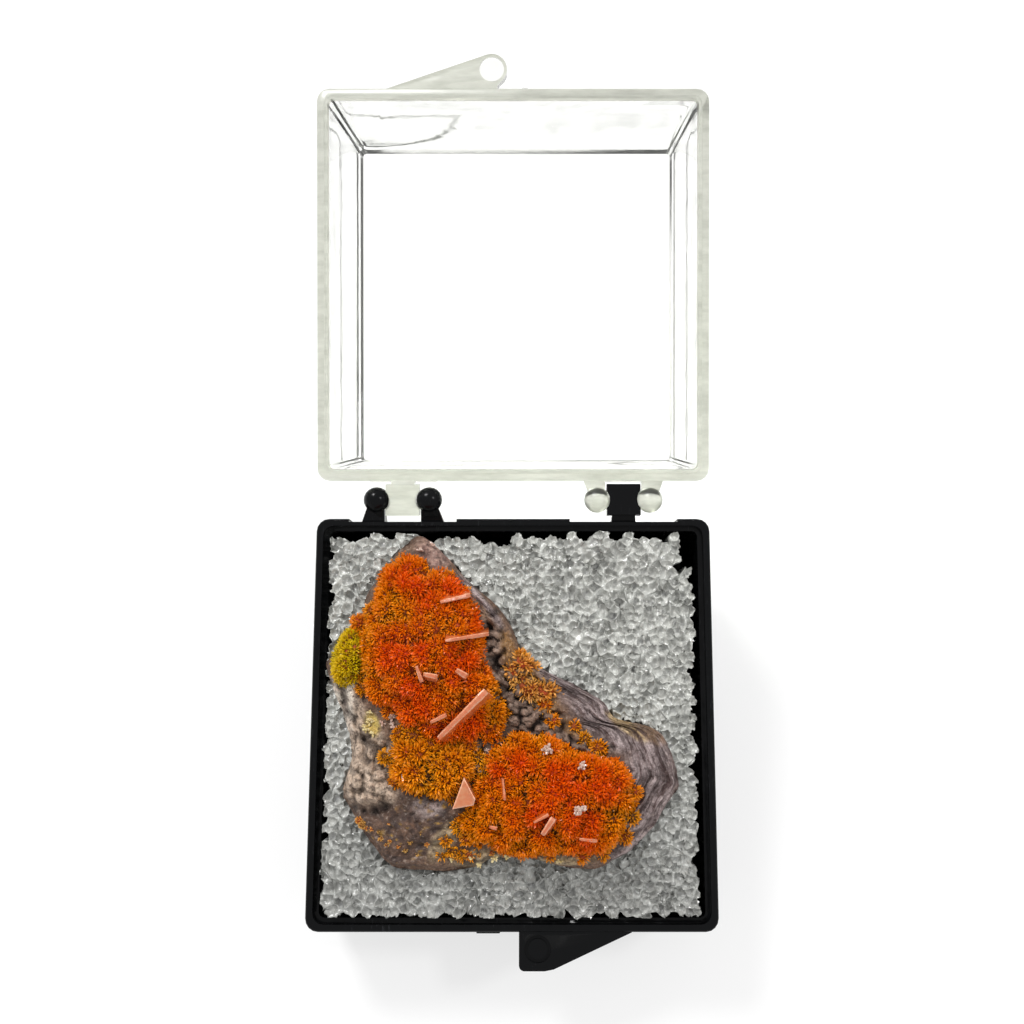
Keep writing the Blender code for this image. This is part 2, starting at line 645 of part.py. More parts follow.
black = plain_material("black_polystyrene", (0.012, 0.013, 0.014), 0.22)
clear = plain_material("clear_polystyrene", (0.93, 0.95, 0.90), 0.08, 0.35, 0.9)
foam_grey = plain_material("foam", (0.62, 0.63, 0.63), 0.55)
mauve = plain_material("matrix", (0.30, 0.24, 0.23), 0.85)
orange = plain_material("mimetite_orange", (0.80, 0.22, 0.01), 0.45)
golden = plain_material("mimetite_golden", (0.72, 0.38, 0.02), 0.45)
yellow = plain_material("mimetite_yellow", (0.55, 0.45, 0.02), 0.45)
peach = plain_material("wulfenite", (0.85, 0.42, 0.25), 0.10, 1.0, 0.8)
white = plain_material("pale_crystal", (0.80, 0.68, 0.60), 0.35)

box_frame = empty("box_frame")
lid_hinge = empty("lid_hinge", box_frame)
lid_hinge.rotation_euler.x = math.pi - OPEN_ANGLE

druse_colours = {
    "mimetite_druse_upper": orange,
    "mimetite_druse_left": yellow,
    "mimetite_druse_middle": golden,
    "mimetite_druse_lower": orange,
    "mimetite_druse_right": golden,
}
pieces = [
    make_tray(box_frame, black),
    make_lid(lid_hinge, clear),
    make_foam(box_frame, foam_grey),
    make_rock(box_frame, mauve),
]
pieces += [make_druse(name, box_frame, druse_colours[name]) for name in DRUSES]
pieces += [make_plate(f"wulfenite_plate_{number:02d}", numbers, box_frame, peach)
           for number, numbers in enumerate(PLATES, 1)]
pieces.append(make_wedge("wulfenite_wedge", box_frame, peach))
pieces += [make_cluster(f"pale_crystals_{number}", numbers, box_frame, white)
           for number, numbers in enumerate(CLUSTERS, 1)]

box_frame.rotation_euler.x = resting_tilt()
stand_on_floor(box_frame, pieces)
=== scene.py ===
"""Wulfenite and mimetite specimen on its foam pad in a hinged specimen box, standing open."""

import json
import math

import bmesh
import bpy
import numpy as np
from mathutils import Matrix, Vector, geometry


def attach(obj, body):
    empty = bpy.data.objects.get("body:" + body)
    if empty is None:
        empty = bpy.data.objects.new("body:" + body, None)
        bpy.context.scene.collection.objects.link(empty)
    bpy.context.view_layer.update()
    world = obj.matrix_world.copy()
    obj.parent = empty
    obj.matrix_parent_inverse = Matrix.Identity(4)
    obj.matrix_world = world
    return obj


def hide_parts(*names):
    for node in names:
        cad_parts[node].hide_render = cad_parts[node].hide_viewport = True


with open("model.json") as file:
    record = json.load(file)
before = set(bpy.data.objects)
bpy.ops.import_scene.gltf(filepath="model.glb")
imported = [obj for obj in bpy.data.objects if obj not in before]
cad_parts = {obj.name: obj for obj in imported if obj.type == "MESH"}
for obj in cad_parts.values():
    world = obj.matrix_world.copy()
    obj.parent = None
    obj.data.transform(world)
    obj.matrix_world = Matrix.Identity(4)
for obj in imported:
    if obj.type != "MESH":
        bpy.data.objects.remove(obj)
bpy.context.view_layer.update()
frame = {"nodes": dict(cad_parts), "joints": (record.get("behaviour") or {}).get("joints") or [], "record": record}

# How the open box stands
# The box leans on the lid's hinge-side edge and on the tray's front foot. Every piece is laid out
# in millimetres on the tray's rim plane: x along the hinge, y towards the lid, z out of the tray.

MM = 0.001
underside = next(mount for mount in frame["record"]["mounts"] if mount["name"] == "tray_underside")
lean = math.atan2(underside["axis"][1], -underside["axis"][2])
hinge = Vector(frame["joints"][0]["pos_m"])
box_to_room = Matrix.Translation(hinge) @ Matrix.Rotation(lean, 4, "X") @ Matrix.Scale(MM, 4)

# Tray
# The black half of the box, injection moulded in glossy polystyrene in one shot with its two ball
# ears, its socket, its thumb tab and its catch. Years in a drawer leave it finely scuffed.

SOFTEST_EDGE = math.radians(32)
FLATTEST_FOLD = math.radians(0.4)
WELD = 0.002 * MM


def fill(item, inputs):
    """A node's inputs filled: a socket or a node's first output is linked, a value is set."""
    for name, value in inputs.items():
        if isinstance(value, bpy.types.Node):
            value = value.outputs[0]
        if isinstance(value, bpy.types.NodeSocket):
            item.id_data.links.new(value, item.inputs[name])
        else:
            socket = item.inputs[name]
            socket.default_value = (*value, 1) if socket.type == "RGBA" else value
    return item


def add(beside, kind, inputs=None, **settings):
    """A new node in the tree that a socket or another node belongs to, set and filled."""
    item = beside.id_data.nodes.new(kind)
    for name, value in settings.items():
        setattr(item, name, value)
    return fill(item, inputs or {})


def finish_named(name):
    """A new material, with its Principled shader and its Object coordinates."""
    material = bpy.data.materials.new(name)
    material.use_nodes = True
    shader = material.node_tree.nodes["Principled BSDF"]
    return material, shader, add(shader, "ShaderNodeTexCoord").outputs["Object"]


def speckle(place, size_mm, detail=3.0, roughness=0.5, distortion=0.0):
    """A noise whose blotches are about this many millimetres across."""
    return add(place, "ShaderNodeTexNoise", {
        "Vector": place, "Scale": 1 / (size_mm * MM), "Detail": detail, "Roughness": roughness,
        "Distortion": distortion}).outputs["Fac"]


def stretched(place, x=1.0, y=1.0, z=1.0, turn=(0.0, 0.0, 0.0)):
    """Coordinates turned and then squeezed, so that a noise on them runs in streaks."""
    return add(place, "ShaderNodeMapping", {"Vector": place, "Rotation": turn, "Scale": (x, y, z)})


def ramp(value, *stops):
    """A colour ramp through (position, colour) or (position, grey) stops."""
    item = add(value, "ShaderNodeValToRGB", {"Fac": value})
    marks = item.color_ramp.elements
    while len(marks) < len(stops):
        marks.new(0.5)
    for mark, (position, colour) in zip(marks, stops):
        mark.position = position
        mark.color = (*colour, 1) if isinstance(colour, tuple) else (colour, colour, colour, 1)
    return item.outputs["Color"]


def blended(share, first, second):
    """Two colours mixed; a colour may be a socket or three numbers."""
    return add(share, "ShaderNodeMix", {0: share, 6: first, 7: second}, data_type="RGBA").outputs[2]


def reckon(operation, first, second):
    """Two numbers added, multiplied or the like."""
    return add(first, "ShaderNodeMath", {0: first, 1: second}, operation=operation)


def bumped(height, depth_mm, under=None):
    """A normal that follows a height this many millimetres deep, over another normal or none."""
    return add(height, "ShaderNodeBump", {
        "Height": height, "Distance": depth_mm * MM, "Strength": 1.0,
        **({} if under is None else {"Normal": under})})


def placed(name, mesh, body="tray_body"):
    """An object for a finished mesh in room metres, riding on a body of the box."""
    item = bpy.data.objects.new(name, mesh)
    bpy.context.scene.collection.objects.link(item)
    bpy.context.view_layer.update()
    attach(item, body)
    return item


def moulding(node, name, material):
    """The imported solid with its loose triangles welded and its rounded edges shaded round."""
    mesh = frame["nodes"][node].data.copy()
    shape = bmesh.new()
    shape.from_mesh(mesh)
    bmesh.ops.remove_doubles(shape, verts=shape.verts, dist=WELD)
    bmesh.ops.dissolve_limit(
        shape, angle_limit=FLATTEST_FOLD, verts=shape.verts, edges=shape.edges)
    shape.to_mesh(mesh)
    shape.free()
    mesh.polygons.foreach_set("use_smooth", [True] * len(mesh.polygons))
    mesh.set_sharp_from_angle(angle=SOFTEST_EDGE)
    mesh.materials.clear()
    mesh.materials.append(material)
    item = placed(name, mesh, node + "_body")
    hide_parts(node)
    return item


black, shader, place = finish_named("black_polystyrene")
scuffs = speckle(stretched(place, 1.0, 0.12, 0.3, (0.3, 0.2, 0.5)), 0.16, 4.0, 0.7)
handled = speckle(place, 5.0)
scuffed = reckon("MULTIPLY", ramp(scuffs, (0.60, 0.0), (0.72, 1.0)),
                 ramp(handled, (0.42, 0.0), (0.66, 1.0)))
fill(shader, {
    "Base Color": blended(scuffed, (0.0030, 0.0032, 0.0036), (0.026, 0.027, 0.030)),
    "Roughness": ramp(handled, (0.3, 0.10), (0.75, 0.28)),
    "Normal": bumped(scuffs, 0.004, bumped(speckle(place, 1.6), 0.02)),
    "Specular IOR Level": 0.11})

tray = moulding("tray", "tray_moulding", black)

# Lid
# The clear half of the box, moulded in crystal polystyrene. Its walls are seen edge-on at the rim,
# where nineteen millimetres of plastic look grey-green; the walls are faintly wavy.

LID_TURN = math.radians(10)

clear, shader, place = finish_named("clear_polystyrene")
haze = speckle(place, 2.2, 2.0, 0.6)
level_lid = Matrix.Rotation(-(lean + LID_TURN), 4, "X")
on_lid = add(place, "ShaderNodeMapping", {
    "Vector": place, "Rotation": (-(lean + LID_TURN), 0, 0), "Location": -(level_lid @ hinge)})
over_rim = add(place, "ShaderNodeSeparateXYZ", {"Vector": on_lid}).outputs["Z"]
at_rim = ramp(reckon("ADD", reckon("MULTIPLY", over_rim, 1 / MM), 1.0), (0.55, 0.0), (0.85, 1.0))
cloud = ramp(speckle(stretched(place, 0.25), 0.9, 3.0, 0.7), (0.3, 0.0), (0.7, 1.0))
# Painted shade: the rim's faces are painted a dim grey-green, for the dark look of nineteen millimetres of plastic
# seen edge-on; the green tint is the plastic's own
fill(shader, {
    "Base Color": blended(at_rim, (0.965, 0.970, 0.945), blended(
        cloud, (0.28, 0.29, 0.225), (0.50, 0.51, 0.415))),
    "Roughness": reckon("MAXIMUM", ramp(haze, (0.35, 0.02), (0.8, 0.10)),
                        reckon("MULTIPLY", at_rim, 0.34)),
    "Normal": bumped(haze, 0.012), "Transmission Weight": 1.0, "IOR": 1.53})
# Lamps shine through the lid, so that its shadow stays faint
lamps_through = add(place, "ShaderNodeMixShader", {
    0: add(place, "ShaderNodeLightPath").outputs["Is Shadow Ray"], 1: shader,
    2: add(place, "ShaderNodeBsdfTransparent", {"Color": (0.93, 0.94, 0.91)})})
fill(clear.node_tree.nodes["Material Output"], {"Surface": lamps_through})

lid = moulding("lid", "lid_moulding", clear)

# Foam pad
# A block of glassy closed-cell foam cut to fill the tray. The knife opened its bubbles, so the top
# is a net of thin torn films round grey hollows, with a pocket that the rock is pressed into.

FOAM_LEFT, FOAM_RIGHT, FOAM_FRONT, FOAM_BACK = -14.70, 14.40, -32.20, -2.75
FOAM_LEVEL, FOAM_BOTTOM, POCKET = 0.30, -8.2, -3.15
# Where the cut bulges: x, y, how wide and how long, height
FOAM_BULGES = [(7.3, -3.4, 3.5, 1.0, 0.9), (11.0, -4.2, 3.0, 2.0, 0.35)]
# A bubble's width, its rows' spacing and its scatter in widths, and the share that is missing
CELL, CELL_ROW, CELL_JITTER, BUBBLES_LOST = 0.68, 0.88, 0.62, 0.13
SAME_CORNER = 0.07
# How far a film's edge is torn up, sags and sways, and a standing scrap's half thickness and foot
TORN, SAGGING, SWAYING = 0.22, 0.14, 0.11
SCRAP_HALF, SCRAP_FOOT = 0.022, 0.05
# Each cup's rings from the torn edge inwards: how far in, how round, how deep, how much is film
CUP_RINGS = [(0.09, 0.45, 0.10, 0.9), (0.24, 0.85, 0.55, 0.35), (0.48, 1.0, 0.92, 0.05)]
SHREDS = 150
ROCK_CENTRE = (-2.5, -17.5)
ROCK_OUTLINE = [
    (-7.2, -3.2), (-5.1, -4.9), (-3.8, -6.4), (-0.7, -9.2), (0.9, -12.4), (2.5, -13.5),
    (6.7, -15.7), (8.0, -17.2), (11.4, -18.3), (12.7, -21.6), (12.4, -22.8), (9.9, -26.4),
    (8.1, -27.6), (5.7, -28.4), (1.1, -27.5), (-1.3, -27.6), (-3.5, -28.4), (-8.3, -28.4),
    (-9.9, -27.5), (-12.5, -23.9), (-13.0, -22.6), (-12.4, -19.2), (-14.3, -13.9),
    (-14.1, -12.4), (-11.7, -9.4), (-11.5, -7.7), (-8.9, -4.2),
]


def lattice(i, j, seed):
    """A number from 0 to 1 that belongs to a grid square."""
    value = np.sin(i * 12.9898 + j * 78.233 + seed * 37.719) * 43758.5453
    return value - np.floor(value)


def swell(x, y, size, seed):
    """Smooth random hills about this many millimetres across, from 0 to 1."""
    u, v = x / size, y / size
    i, j = np.floor(u), np.floor(v)
    fu, fv = u - i, v - j
    fu, fv = fu * fu * (3 - 2 * fu), fv * fv * (3 - 2 * fv)
    low = lattice(i, j, seed) * (1 - fu) + lattice(i + 1, j, seed) * fu
    high = lattice(i, j + 1, seed) * (1 - fu) + lattice(i + 1, j + 1, seed) * fu
    return low * (1 - fv) + high * fv


def rough(x, y, size, seed, octaves=4):
    """Hills on hills, each half the size of the last, from about -1 to 1."""
    total, weight = 0.0, 0.0
    for octave in range(octaves):
        share = 0.55 ** octave
        total = total + share * (2 * swell(x, y, size / 2 ** octave, seed + octave) - 1)
        weight += share
    return total / weight


def knobs(x, y, size, seed):
    """Scattered points: how near the nearest one lies, in sizes, and its own number."""
    u, v = x / size, y / size
    near, own = np.full(u.shape, 9.0), np.zeros(u.shape)
    for di in (-1, 0, 1):
        for dj in (-1, 0, 1):
            i, j = np.floor(u) + di, np.floor(v) + dj
            away = np.hypot(u - i - 0.5 - 0.9 * (lattice(i, j, seed) - 0.5),
                            v - j - 0.5 - 0.9 * (lattice(i, j, seed + 0.5) - 0.5))
            own = np.where(away < near, lattice(i, j, seed + 0.25), own)
            near = np.minimum(near, away)
    return near, own


def domes(x, y, size, seed):
    """Round knobs of this diameter, from 0 between them to 1 on top."""
    near, own = knobs(x, y, size, seed)
    return np.sqrt(np.clip(1 - (near / 0.60) ** 2, 0, 1)) * (0.62 + 0.38 * own)


def smooth_loop(outline, per_span):
    """A closed curve through the outline's points (Catmull-Rom)."""
    p1 = np.array(outline, float)
    p0, p2, p3 = np.roll(p1, 1, 0), np.roll(p1, -1, 0), np.roll(p1, -2, 0)
    spans = []
    for step in range(per_span):
        t = step / per_span
        spans.append(0.5 * (2 * p1 + (p2 - p0) * t + (2 * p0 - 5 * p1 + 4 * p2 - p3) * t * t
                            + (3 * p1 - p0 - 3 * p2 + p3) * t ** 3))
    return np.stack(spans, 1).reshape(-1, 2)


def reach(outline, centre, x, y):
    """0 at an outline's centre, 1 on it, more outside."""
    loop = smooth_loop(outline, 10) - np.array(centre)
    turns, arms = np.arctan2(loop[:, 1], loop[:, 0]), np.hypot(loop[:, 0], loop[:, 1])
    order = np.argsort(turns)
    dx, dy = x - centre[0], y - centre[1]
    edge = np.interp(np.arctan2(dy, dx), turns[order], arms[order], period=2 * np.pi)
    return np.hypot(dx, dy) / edge


def step_up(value, low, high):
    """0 below low, 1 above high, smooth between."""
    t = np.clip((value - low) / (high - low), 0, 1)
    return t * t * (3 - 2 * t)


def mesh_of(name, points, faces, materials=(), smooth=True, stand=box_to_room, **values):
    """A mesh from millimetres, with a number or a colour on every point for each named value."""
    turn = np.array(stand)
    mesh = bpy.data.meshes.new(name)
    mesh.from_pydata(
        (np.asarray(points, float) @ turn[:3, :3].T + turn[:3, 3]).tolist(), [], faces)
    for label, numbers in values.items():
        numbers = np.asarray(numbers, np.float32)
        if numbers.ndim == 2:
            layer = mesh.attributes.new(label, "FLOAT_COLOR", "POINT")
            layer.data.foreach_set("color", np.c_[numbers, np.ones(len(numbers))].ravel())
        else:
            mesh.attributes.new(label, "FLOAT", "POINT").data.foreach_set("value", numbers)
    mesh.polygons.foreach_set("use_smooth", [smooth] * len(mesh.polygons))
    for material in materials:
        mesh.materials.append(material)
    return mesh


def pairs(ring):
    """Each number of a closed ring with the next one."""
    return list(zip(ring, ring[1:] + ring[:1]))


def band(low, high):
    """The quads between two closed rings of point numbers."""
    return [(a, b, d, c) for (a, b), (c, d) in zip(pairs(low), pairs(high))]


def foam_ground(x, y):
    """The knife's wavy cut, pushed up a little round the rock and down under it."""
    level = FOAM_LEVEL + 0.30 * rough(x, y, 5.0, 3, 3) + 0.10 * rough(x, y, 1.4, 7, 2)
    for bulge_x, bulge_y, wide, long, rise in FOAM_BULGES:
        level += rise * np.exp(-((x - bulge_x) ** 2 / wide + (y - bulge_y) ** 2 / long))
    under = reach(ROCK_OUTLINE, ROCK_CENTRE, x, y)
    level += 0.25 * np.exp(-((under - 1.05) / 0.05) ** 2)
    return level + (POCKET - level) * (1 - step_up(under, 0.93, 0.985))


def foam_cells():
    """The opened bubbles: their shared corners, and each one's middle and ring of corners."""
    across = int((FOAM_RIGHT - FOAM_LEFT) / CELL) + 6
    along = int((FOAM_BACK - FOAM_FRONT) / CELL * 1.12) + 9
    i, j = (part.ravel() for part in np.meshgrid(np.arange(across), np.arange(along)))
    x = FOAM_LEFT + (i - 2.5 + 0.5 * (j % 2) + CELL_JITTER * (lattice(i, j, 11) - 0.5)) * CELL
    y = FOAM_FRONT + (j - 3 + CELL_JITTER * (lattice(i, j, 12) - 0.5)) * CELL * CELL_ROW
    kept = lattice(i, j, 13) > BUBBLES_LOST
    sites = [Vector((a, b)) for a, b in zip(x[kept].tolist(), y[kept].tolist())]
    sites, _, triangles = geometry.delaunay_2d_cdt(sites, [], [], 0, 1e-7)[:3]
    corners, around = [], [[] for _ in sites]
    # A corner is the middle of the circle through three neighbouring bubbles
    for triangle in triangles:
        (ax, ay), (bx, by), (cx, cy) = (sites[k] for k in triangle)
        twice = 2 * (ax * (by - cy) + bx * (cy - ay) + cx * (ay - by))
        a2, b2, c2 = ax * ax + ay * ay, bx * bx + by * by, cx * cx + cy * cy
        for k in triangle:
            around[k].append(len(corners))
        corners.append(((a2 * (by - cy) + b2 * (cy - ay) + c2 * (ay - by)) / twice,
                        (a2 * (cx - bx) + b2 * (ax - cx) + c2 * (bx - ax)) / twice))
    same = list(range(len(corners)))

    def merged(k):
        """The one corner that stands for all that lie in the same spot."""
        while same[k] != k:
            k = same[k]
        return k

    for (x, y), ring in zip(sites, around):
        ring.sort(key=lambda k: math.atan2(corners[k][1] - y, corners[k][0] - x))
        for a, b in pairs(ring):
            if math.dist(corners[a], corners[b]) < SAME_CORNER and merged(a) != merged(b):
                same[merged(a)] = merged(b)
    cells = []
    for (x, y), ring in zip(sites, around):
        ragged = 0.105 * math.sin(3.1 * x + 1.7 * y)
        inside = (FOAM_LEFT + 0.15 < x + ragged < FOAM_RIGHT - 0.15
                  and FOAM_FRONT + 0.15 < y + ragged < FOAM_BACK - 0.25)
        # The block's far edge is torn away in two places
        missing = (-2.4 < x < 0.1 and y > -3.9) or (x > 13.2 and y > -5.4)
        if inside and not missing:
            cells.append(((x, y), [a for a, b in pairs([merged(k) for k in ring]) if a != b]))
    return corners, cells


def make_foam():
    """The foam as one closed skin: torn films between cupped cells, a skirt and an underside."""
    corners, cells = foam_cells()
    spots, places, sags = {}, [], []

    def crest(a, b, step):
        """The number of a point on the torn film from corner a to corner b."""
        key = (a,) if step == 0 else (min(a, b), max(a, b), step if a < b else 3 - step)
        if key not in spots:
            spots[key] = len(places)
            places.append([start + (end - start) * step / 3
                           for start, end in zip(corners[a], corners[b])])
            sags.append(1.0 if step else 0.0)
        return spots[key]

    rings = [[crest(a, b, step) for a, b in pairs(ring) for step in range(3)] for _, ring in cells]
    x, y = np.array(places).T
    sag = np.array(sags)
    x, y = (flat + SWAYING * sag * (2 * lattice(97 * x, 89 * y, seed) - 1)
            for flat, seed in ((x, 21), (y, 22)))
    wavy = 0.30 * rough(x, y, 1.2, 25, 3)
    x = np.clip(x, FOAM_LEFT + np.abs(wavy), FOAM_RIGHT + wavy)
    y = np.clip(y, FOAM_FRONT + 0.4 * np.abs(wavy), FOAM_BACK + wavy)
    z = (foam_ground(x, y) + TORN * lattice(31 * x, 37 * y, 23)
         - SAGGING * sag * lattice(11 * x, 13 * y, 24))
    sheets, film, hollow, faces, edges, total = [], [], [], [], {}, 0

    def lay(points, skin, depth):
        """Points with their share of film and their cell's depth; their numbers come back."""
        nonlocal total
        sheets.append(points)
        film.append(np.full(len(points), skin))
        hollow.append(np.full(len(points), depth))
        total += len(points)
        return list(range(total - len(points), total))

    lay(np.c_[x, y, z], 1.0, 0.0)
    middle = np.array([place for place, _ in cells])
    level = foam_ground(*middle.T)
    buried = reach(ROCK_OUTLINE, ROCK_CENTRE, *middle.T) < 0.88
    own = lattice(np.arange(len(cells)), 3, 31)
    for number, ring in enumerate(rings):
        crests = sheets[0][ring]
        hub = np.array([*middle[number], level[number]])
        arms = crests[:, :2] - hub[:2]
        lengths = np.hypot(*arms.T)
        deep = 0.0 if buried[number] else lengths.mean() * (0.34 + 0.46 * own[number])
        before = ring
        for share, roundness, drop, skin in CUP_RINGS if deep else ():
            spread = (1 - share) * ((1 - roundness) + roundness * 0.92 * lengths.mean() / lengths)
            inner = np.c_[hub[:2] + arms * np.minimum(spread, 0.97)[:, None], crests[:, 2]]
            inner[:, 2] = (hub[2] - deep * drop) * drop + (inner[:, 2] - deep * drop) * (1 - drop)
            here = lay(inner, skin, own[number])
            faces += band(before, here)
            before = here
        hub[2] -= deep
        faces += [(a, b, total) for a, b in pairs(before)]
        lay(hub[None], 0.0, own[number])
        for a, b in pairs(ring):
            if edges.pop((b, a), None) is None:
                edges[a, b] = True

    # Scraps of film that stand on half of the walls
    for a, b, _ in [key for key in spots if key[2:] == (1,)]:
        if (a, b, 2) not in spots or (b,) not in spots:
            continue
        strip = [spots[a,], spots[a, b, 1], spots[a, b, 2], spots[b,]]
        line = sheets[0][strip]
        run = line[-1] - line[0]
        span = math.hypot(run[0], run[1])
        chance, tilt, rise = (float(lattice(strip[0], k, 41 + k)) for k in range(3))
        if chance > 0.5 or span < 0.16 or line[0][2] < -1.0 or line[-1][2] < -1.0:
            continue
        side = np.array((-run[1], run[0], 0.0)) / span
        tall = (0.10 + 0.34 * rise * rise) * np.array([0.35, 1.0, 0.8, 0.25])
        top = line + side * (tilt - 0.5) * tall[:, None] * 0.9
        top[:, 2] += tall
        feet = [line + side * half - (0, 0, SCRAP_FOOT) for half in (SCRAP_HALF, -SCRAP_HALF)]
        first = lay(np.concatenate([*feet, top]), [0.9] * 8 + [1.3] * 4, 0.0)[0]
        for a in range(first, first + 3):
            b, c = a + 4, a + 8
            faces += [(a + 1, a, c, c + 1), (b, b + 1, c + 1, c), (a, a + 1, b + 1, b)]
        faces += [(first, first + 4, first + 8), (first + 3, first + 11, first + 7)]

    while edges:
        start, here = next(iter(edges))
        following = dict(edges.keys())
        rim = [start]
        while here != start and len(rim) <= len(following):
            rim.append(here)
            here = following[here]
        for pair in pairs(rim):
            edges.pop(pair, None)
        before = rim
        for height in (FOAM_LEVEL - 0.9, -3.0, FOAM_BOTTOM):
            here = lay(np.c_[sheets[0][rim][:, :2], np.full(len(rim), height)], 0.4, 0.5)
            faces += [(a, d, c, b) for a, b, c, d in band(before, here)]
            before = here
        faces.append(tuple(reversed(before)))
    return np.concatenate(sheets), faces, np.concatenate(film), np.concatenate(hollow)


def carried(place, label, kind="Fac"):
    """A value that a mesh carries on its points, for its material."""
    return add(place, "ShaderNodeAttribute", attribute_name=label).outputs[kind]


foam_grey, shader, place = finish_named("glassy_foam")
skin = carried(place, "film")
blotch = speckle(place, 0.42, 3.0, 0.6)
# Painted shade: the deeper a cell is cut, the darker grey its hollow is painted
hollow_grey = blended(carried(place, "hollow"), (0.42, 0.42, 0.395), (0.31, 0.31, 0.305))
cell_colour = blended(ramp(blotch, (0.35, 0.0), (0.65, 1.0)), hollow_grey, (0.50, 0.50, 0.465))
strands = add(place, "ShaderNodeMath", {
    0: reckon("SUBTRACT", speckle(place, 1.1, 3.0, 0.6, 1.2), 0.5)}, operation="ABSOLUTE")
veiled = blended(ramp(skin, (0.1, 0.0), (0.95, 1.0)), cell_colour, (0.455, 0.46, 0.43))
whole = blended(ramp(strands, (0.0, 0.8), (0.022, 0.0)), veiled, (0.76, 0.77, 0.73))
# Painted shade: the front of the block is painted darker grey, for the shade that falls there
fore = reckon("MULTIPLY", add(place, "ShaderNodeSeparateXYZ", {"Vector": place}).outputs["Y"],
              1 / (40 * MM))
front_painted_shade = ramp(reckon("ADD", fore, 1.0), (0.12, 0.50), (0.60, 0.0))
# Painted highlight: the standing shreds are painted pure white, to flash like glints
painted_glint = ramp(reckon("SUBTRACT", skin, 1.5), (0.0, 0.0), (0.5, 1.0))
# Flat scraps of film that lie every way: each catches the light or does not
scrap = add(place, "ShaderNodeTexVoronoi", {
    "Vector": place, "Scale": 1 / (0.26 * MM)}, feature="F1")
tipped = add(place, "ShaderNodeVectorMath", {
    0: add(place, "ShaderNodeVectorMath", {
        0: scrap.outputs["Color"], 1: (0.5, 0.5, 0.5)}, operation="SUBTRACT"),
    "Scale": 0.6}, operation="SCALE")
facing = add(place, "ShaderNodeVectorMath", {
    0: add(place, "ShaderNodeNewGeometry").outputs["Normal"], 1: tipped})
fill(shader, {
    "Base Color": blended(painted_glint, blended(front_painted_shade, whole, (0.13, 0.13, 0.13)), (1.0, 1.0, 0.98)),
    "Roughness": ramp(blotch, (0.35, 0.07), (0.65, 0.30)),
    "Normal": add(place, "ShaderNodeVectorMath", {0: facing}, operation="NORMALIZE"), "IOR": 1.6})

foam_points, foam_faces, film, hollow = make_foam()
# Shreds of film that the knife left standing on the cell walls, painted pure white as painted glints
rng = np.random.default_rng(31)
walls = np.flatnonzero((film > 0.9) & (foam_points[:, 2] > -1.5))
shreds = []
for stand in foam_points[rng.choice(walls, SHREDS, replace=False)]:
    size, turn = rng.uniform(0.09, 0.20), rng.uniform(0, 2 * math.pi)
    first = len(foam_points) + len(shreds)
    for k, reach_out in enumerate((1.0, 0.45, 0.7)):
        spin = turn + 2 * math.pi * k / 3
        shreds.append(stand + size * reach_out * np.array(
            (math.cos(spin), math.sin(spin), rng.uniform(-0.3, 0.3))))
    shreds.append(stand + np.array((0, 0, 0.3 * size)))
    foam_faces.append((first, first + 2, first + 1))
    foam_faces += [(a, b, first + 3) for a, b in pairs([first, first + 1, first + 2])]
foam = placed("foam_pad_cells", mesh_of(
    "foam_pad_cells", np.concatenate([foam_points, shreds]), foam_faces, [foam_grey],
    film=np.r_[film, np.full(len(shreds), 3.0)], hollow=np.r_[hollow, np.zeros(len(shreds))]))
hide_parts("foam_pad")

# Matrix rock
# One broken lump of mauve altered lava with pale botryoidal crust down its left side, a vuggy
# band across the middle and thin foliated layers on its right flank. It sits in the foam's pocket.

# Low hills: x, y, height, spread
ROCK_HILLS = [(-6.5, -12.0, 3.0, 4.6), (3.0, -23.0, 2.2, 4.2), (8.2, -20.2, 1.3, 3.2),
              (-8.0, -23.0, 1.5, 3.6)]
# Patches as ellipses: middle x and y, half length along x and y, turn in degrees
PALE_UPPER = [(-13.2, -15.6, 1.1, 1.9, 0), (-12.9, -17.6, 0.7, 1.0, 0)]
PALE_CRUST = [(-11.1, -21.6, 2.0, 2.2, 0), (-12.3, -18.0, 1.3, 2.6, 8), (-13.2, -14.9, 0.9, 1.5, 0),
              (-10.3, -19.6, 1.2, 1.8, 20), (-9.9, -22.6, 1.3, 1.0, 0)]
FLANK = [(10.4, -22.3, 2.5, 4.4, -12), (7.9, -17.6, 4.6, 1.5, -35), (3.9, -14.2, 3.2, 0.9, -38),
         (8.9, -26.3, 2.4, 1.9, 30), (-2.6, -8.2, 2.6, 0.45, -48)]
VUGS = [(-1.4, -11.6, 0.8, 3.0, 12), (0.6, -14.4, 1.9, 1.8, -40), (1.6, -17.0, 2.7, 1.3, -18),
        (5.4, -18.9, 2.6, 0.8, -14), (-2.4, -20.4, 0.9, 1.1, 0)]
DARK_BASE = [(-8.6, -25.3, 4.3, 2.6, 8), (-5.9, -24.2, 2.2, 2.0, 0), (-9.9, -26.4, 2.6, 1.6, -30)]
CREAM_RIM = [(-1.4, -27.6, 3.0, 0.8, 3), (-5.2, -26.3, 1.6, 0.7, 60), (3.2, -27.5, 3.4, 0.5, 0)]
BARE_TIP = [(-6.2, -4.4, 1.5, 1.2, -35)]
LAVENDER_PATCH = [(-6.3, -23.5, 1.3, 0.9, 20)]
YELLOW_BAND = [(8.9, -17.8, 1.7, 0.45, -32), (8.2, -17.3, 1.1, 0.35, -30)]
RUSTY_BAND = [(10.7, -18.2, 1.4, 0.6, -38)]
GOLDEN_CRUST = [(0.6, -13.2, 1.7, 1.0, -45), (2.4, -15.6, 1.6, 0.8, -42),
                (-0.3, -11.8, 0.6, 1.4, 15), (-3.2, -8.1, 2.6, 0.35, -46),
                (4.6, -17.9, 1.3, 0.5, -30)]
YELLOW_CRUST = [(-10.7, -17.6, 0.55, 0.9, 20)]
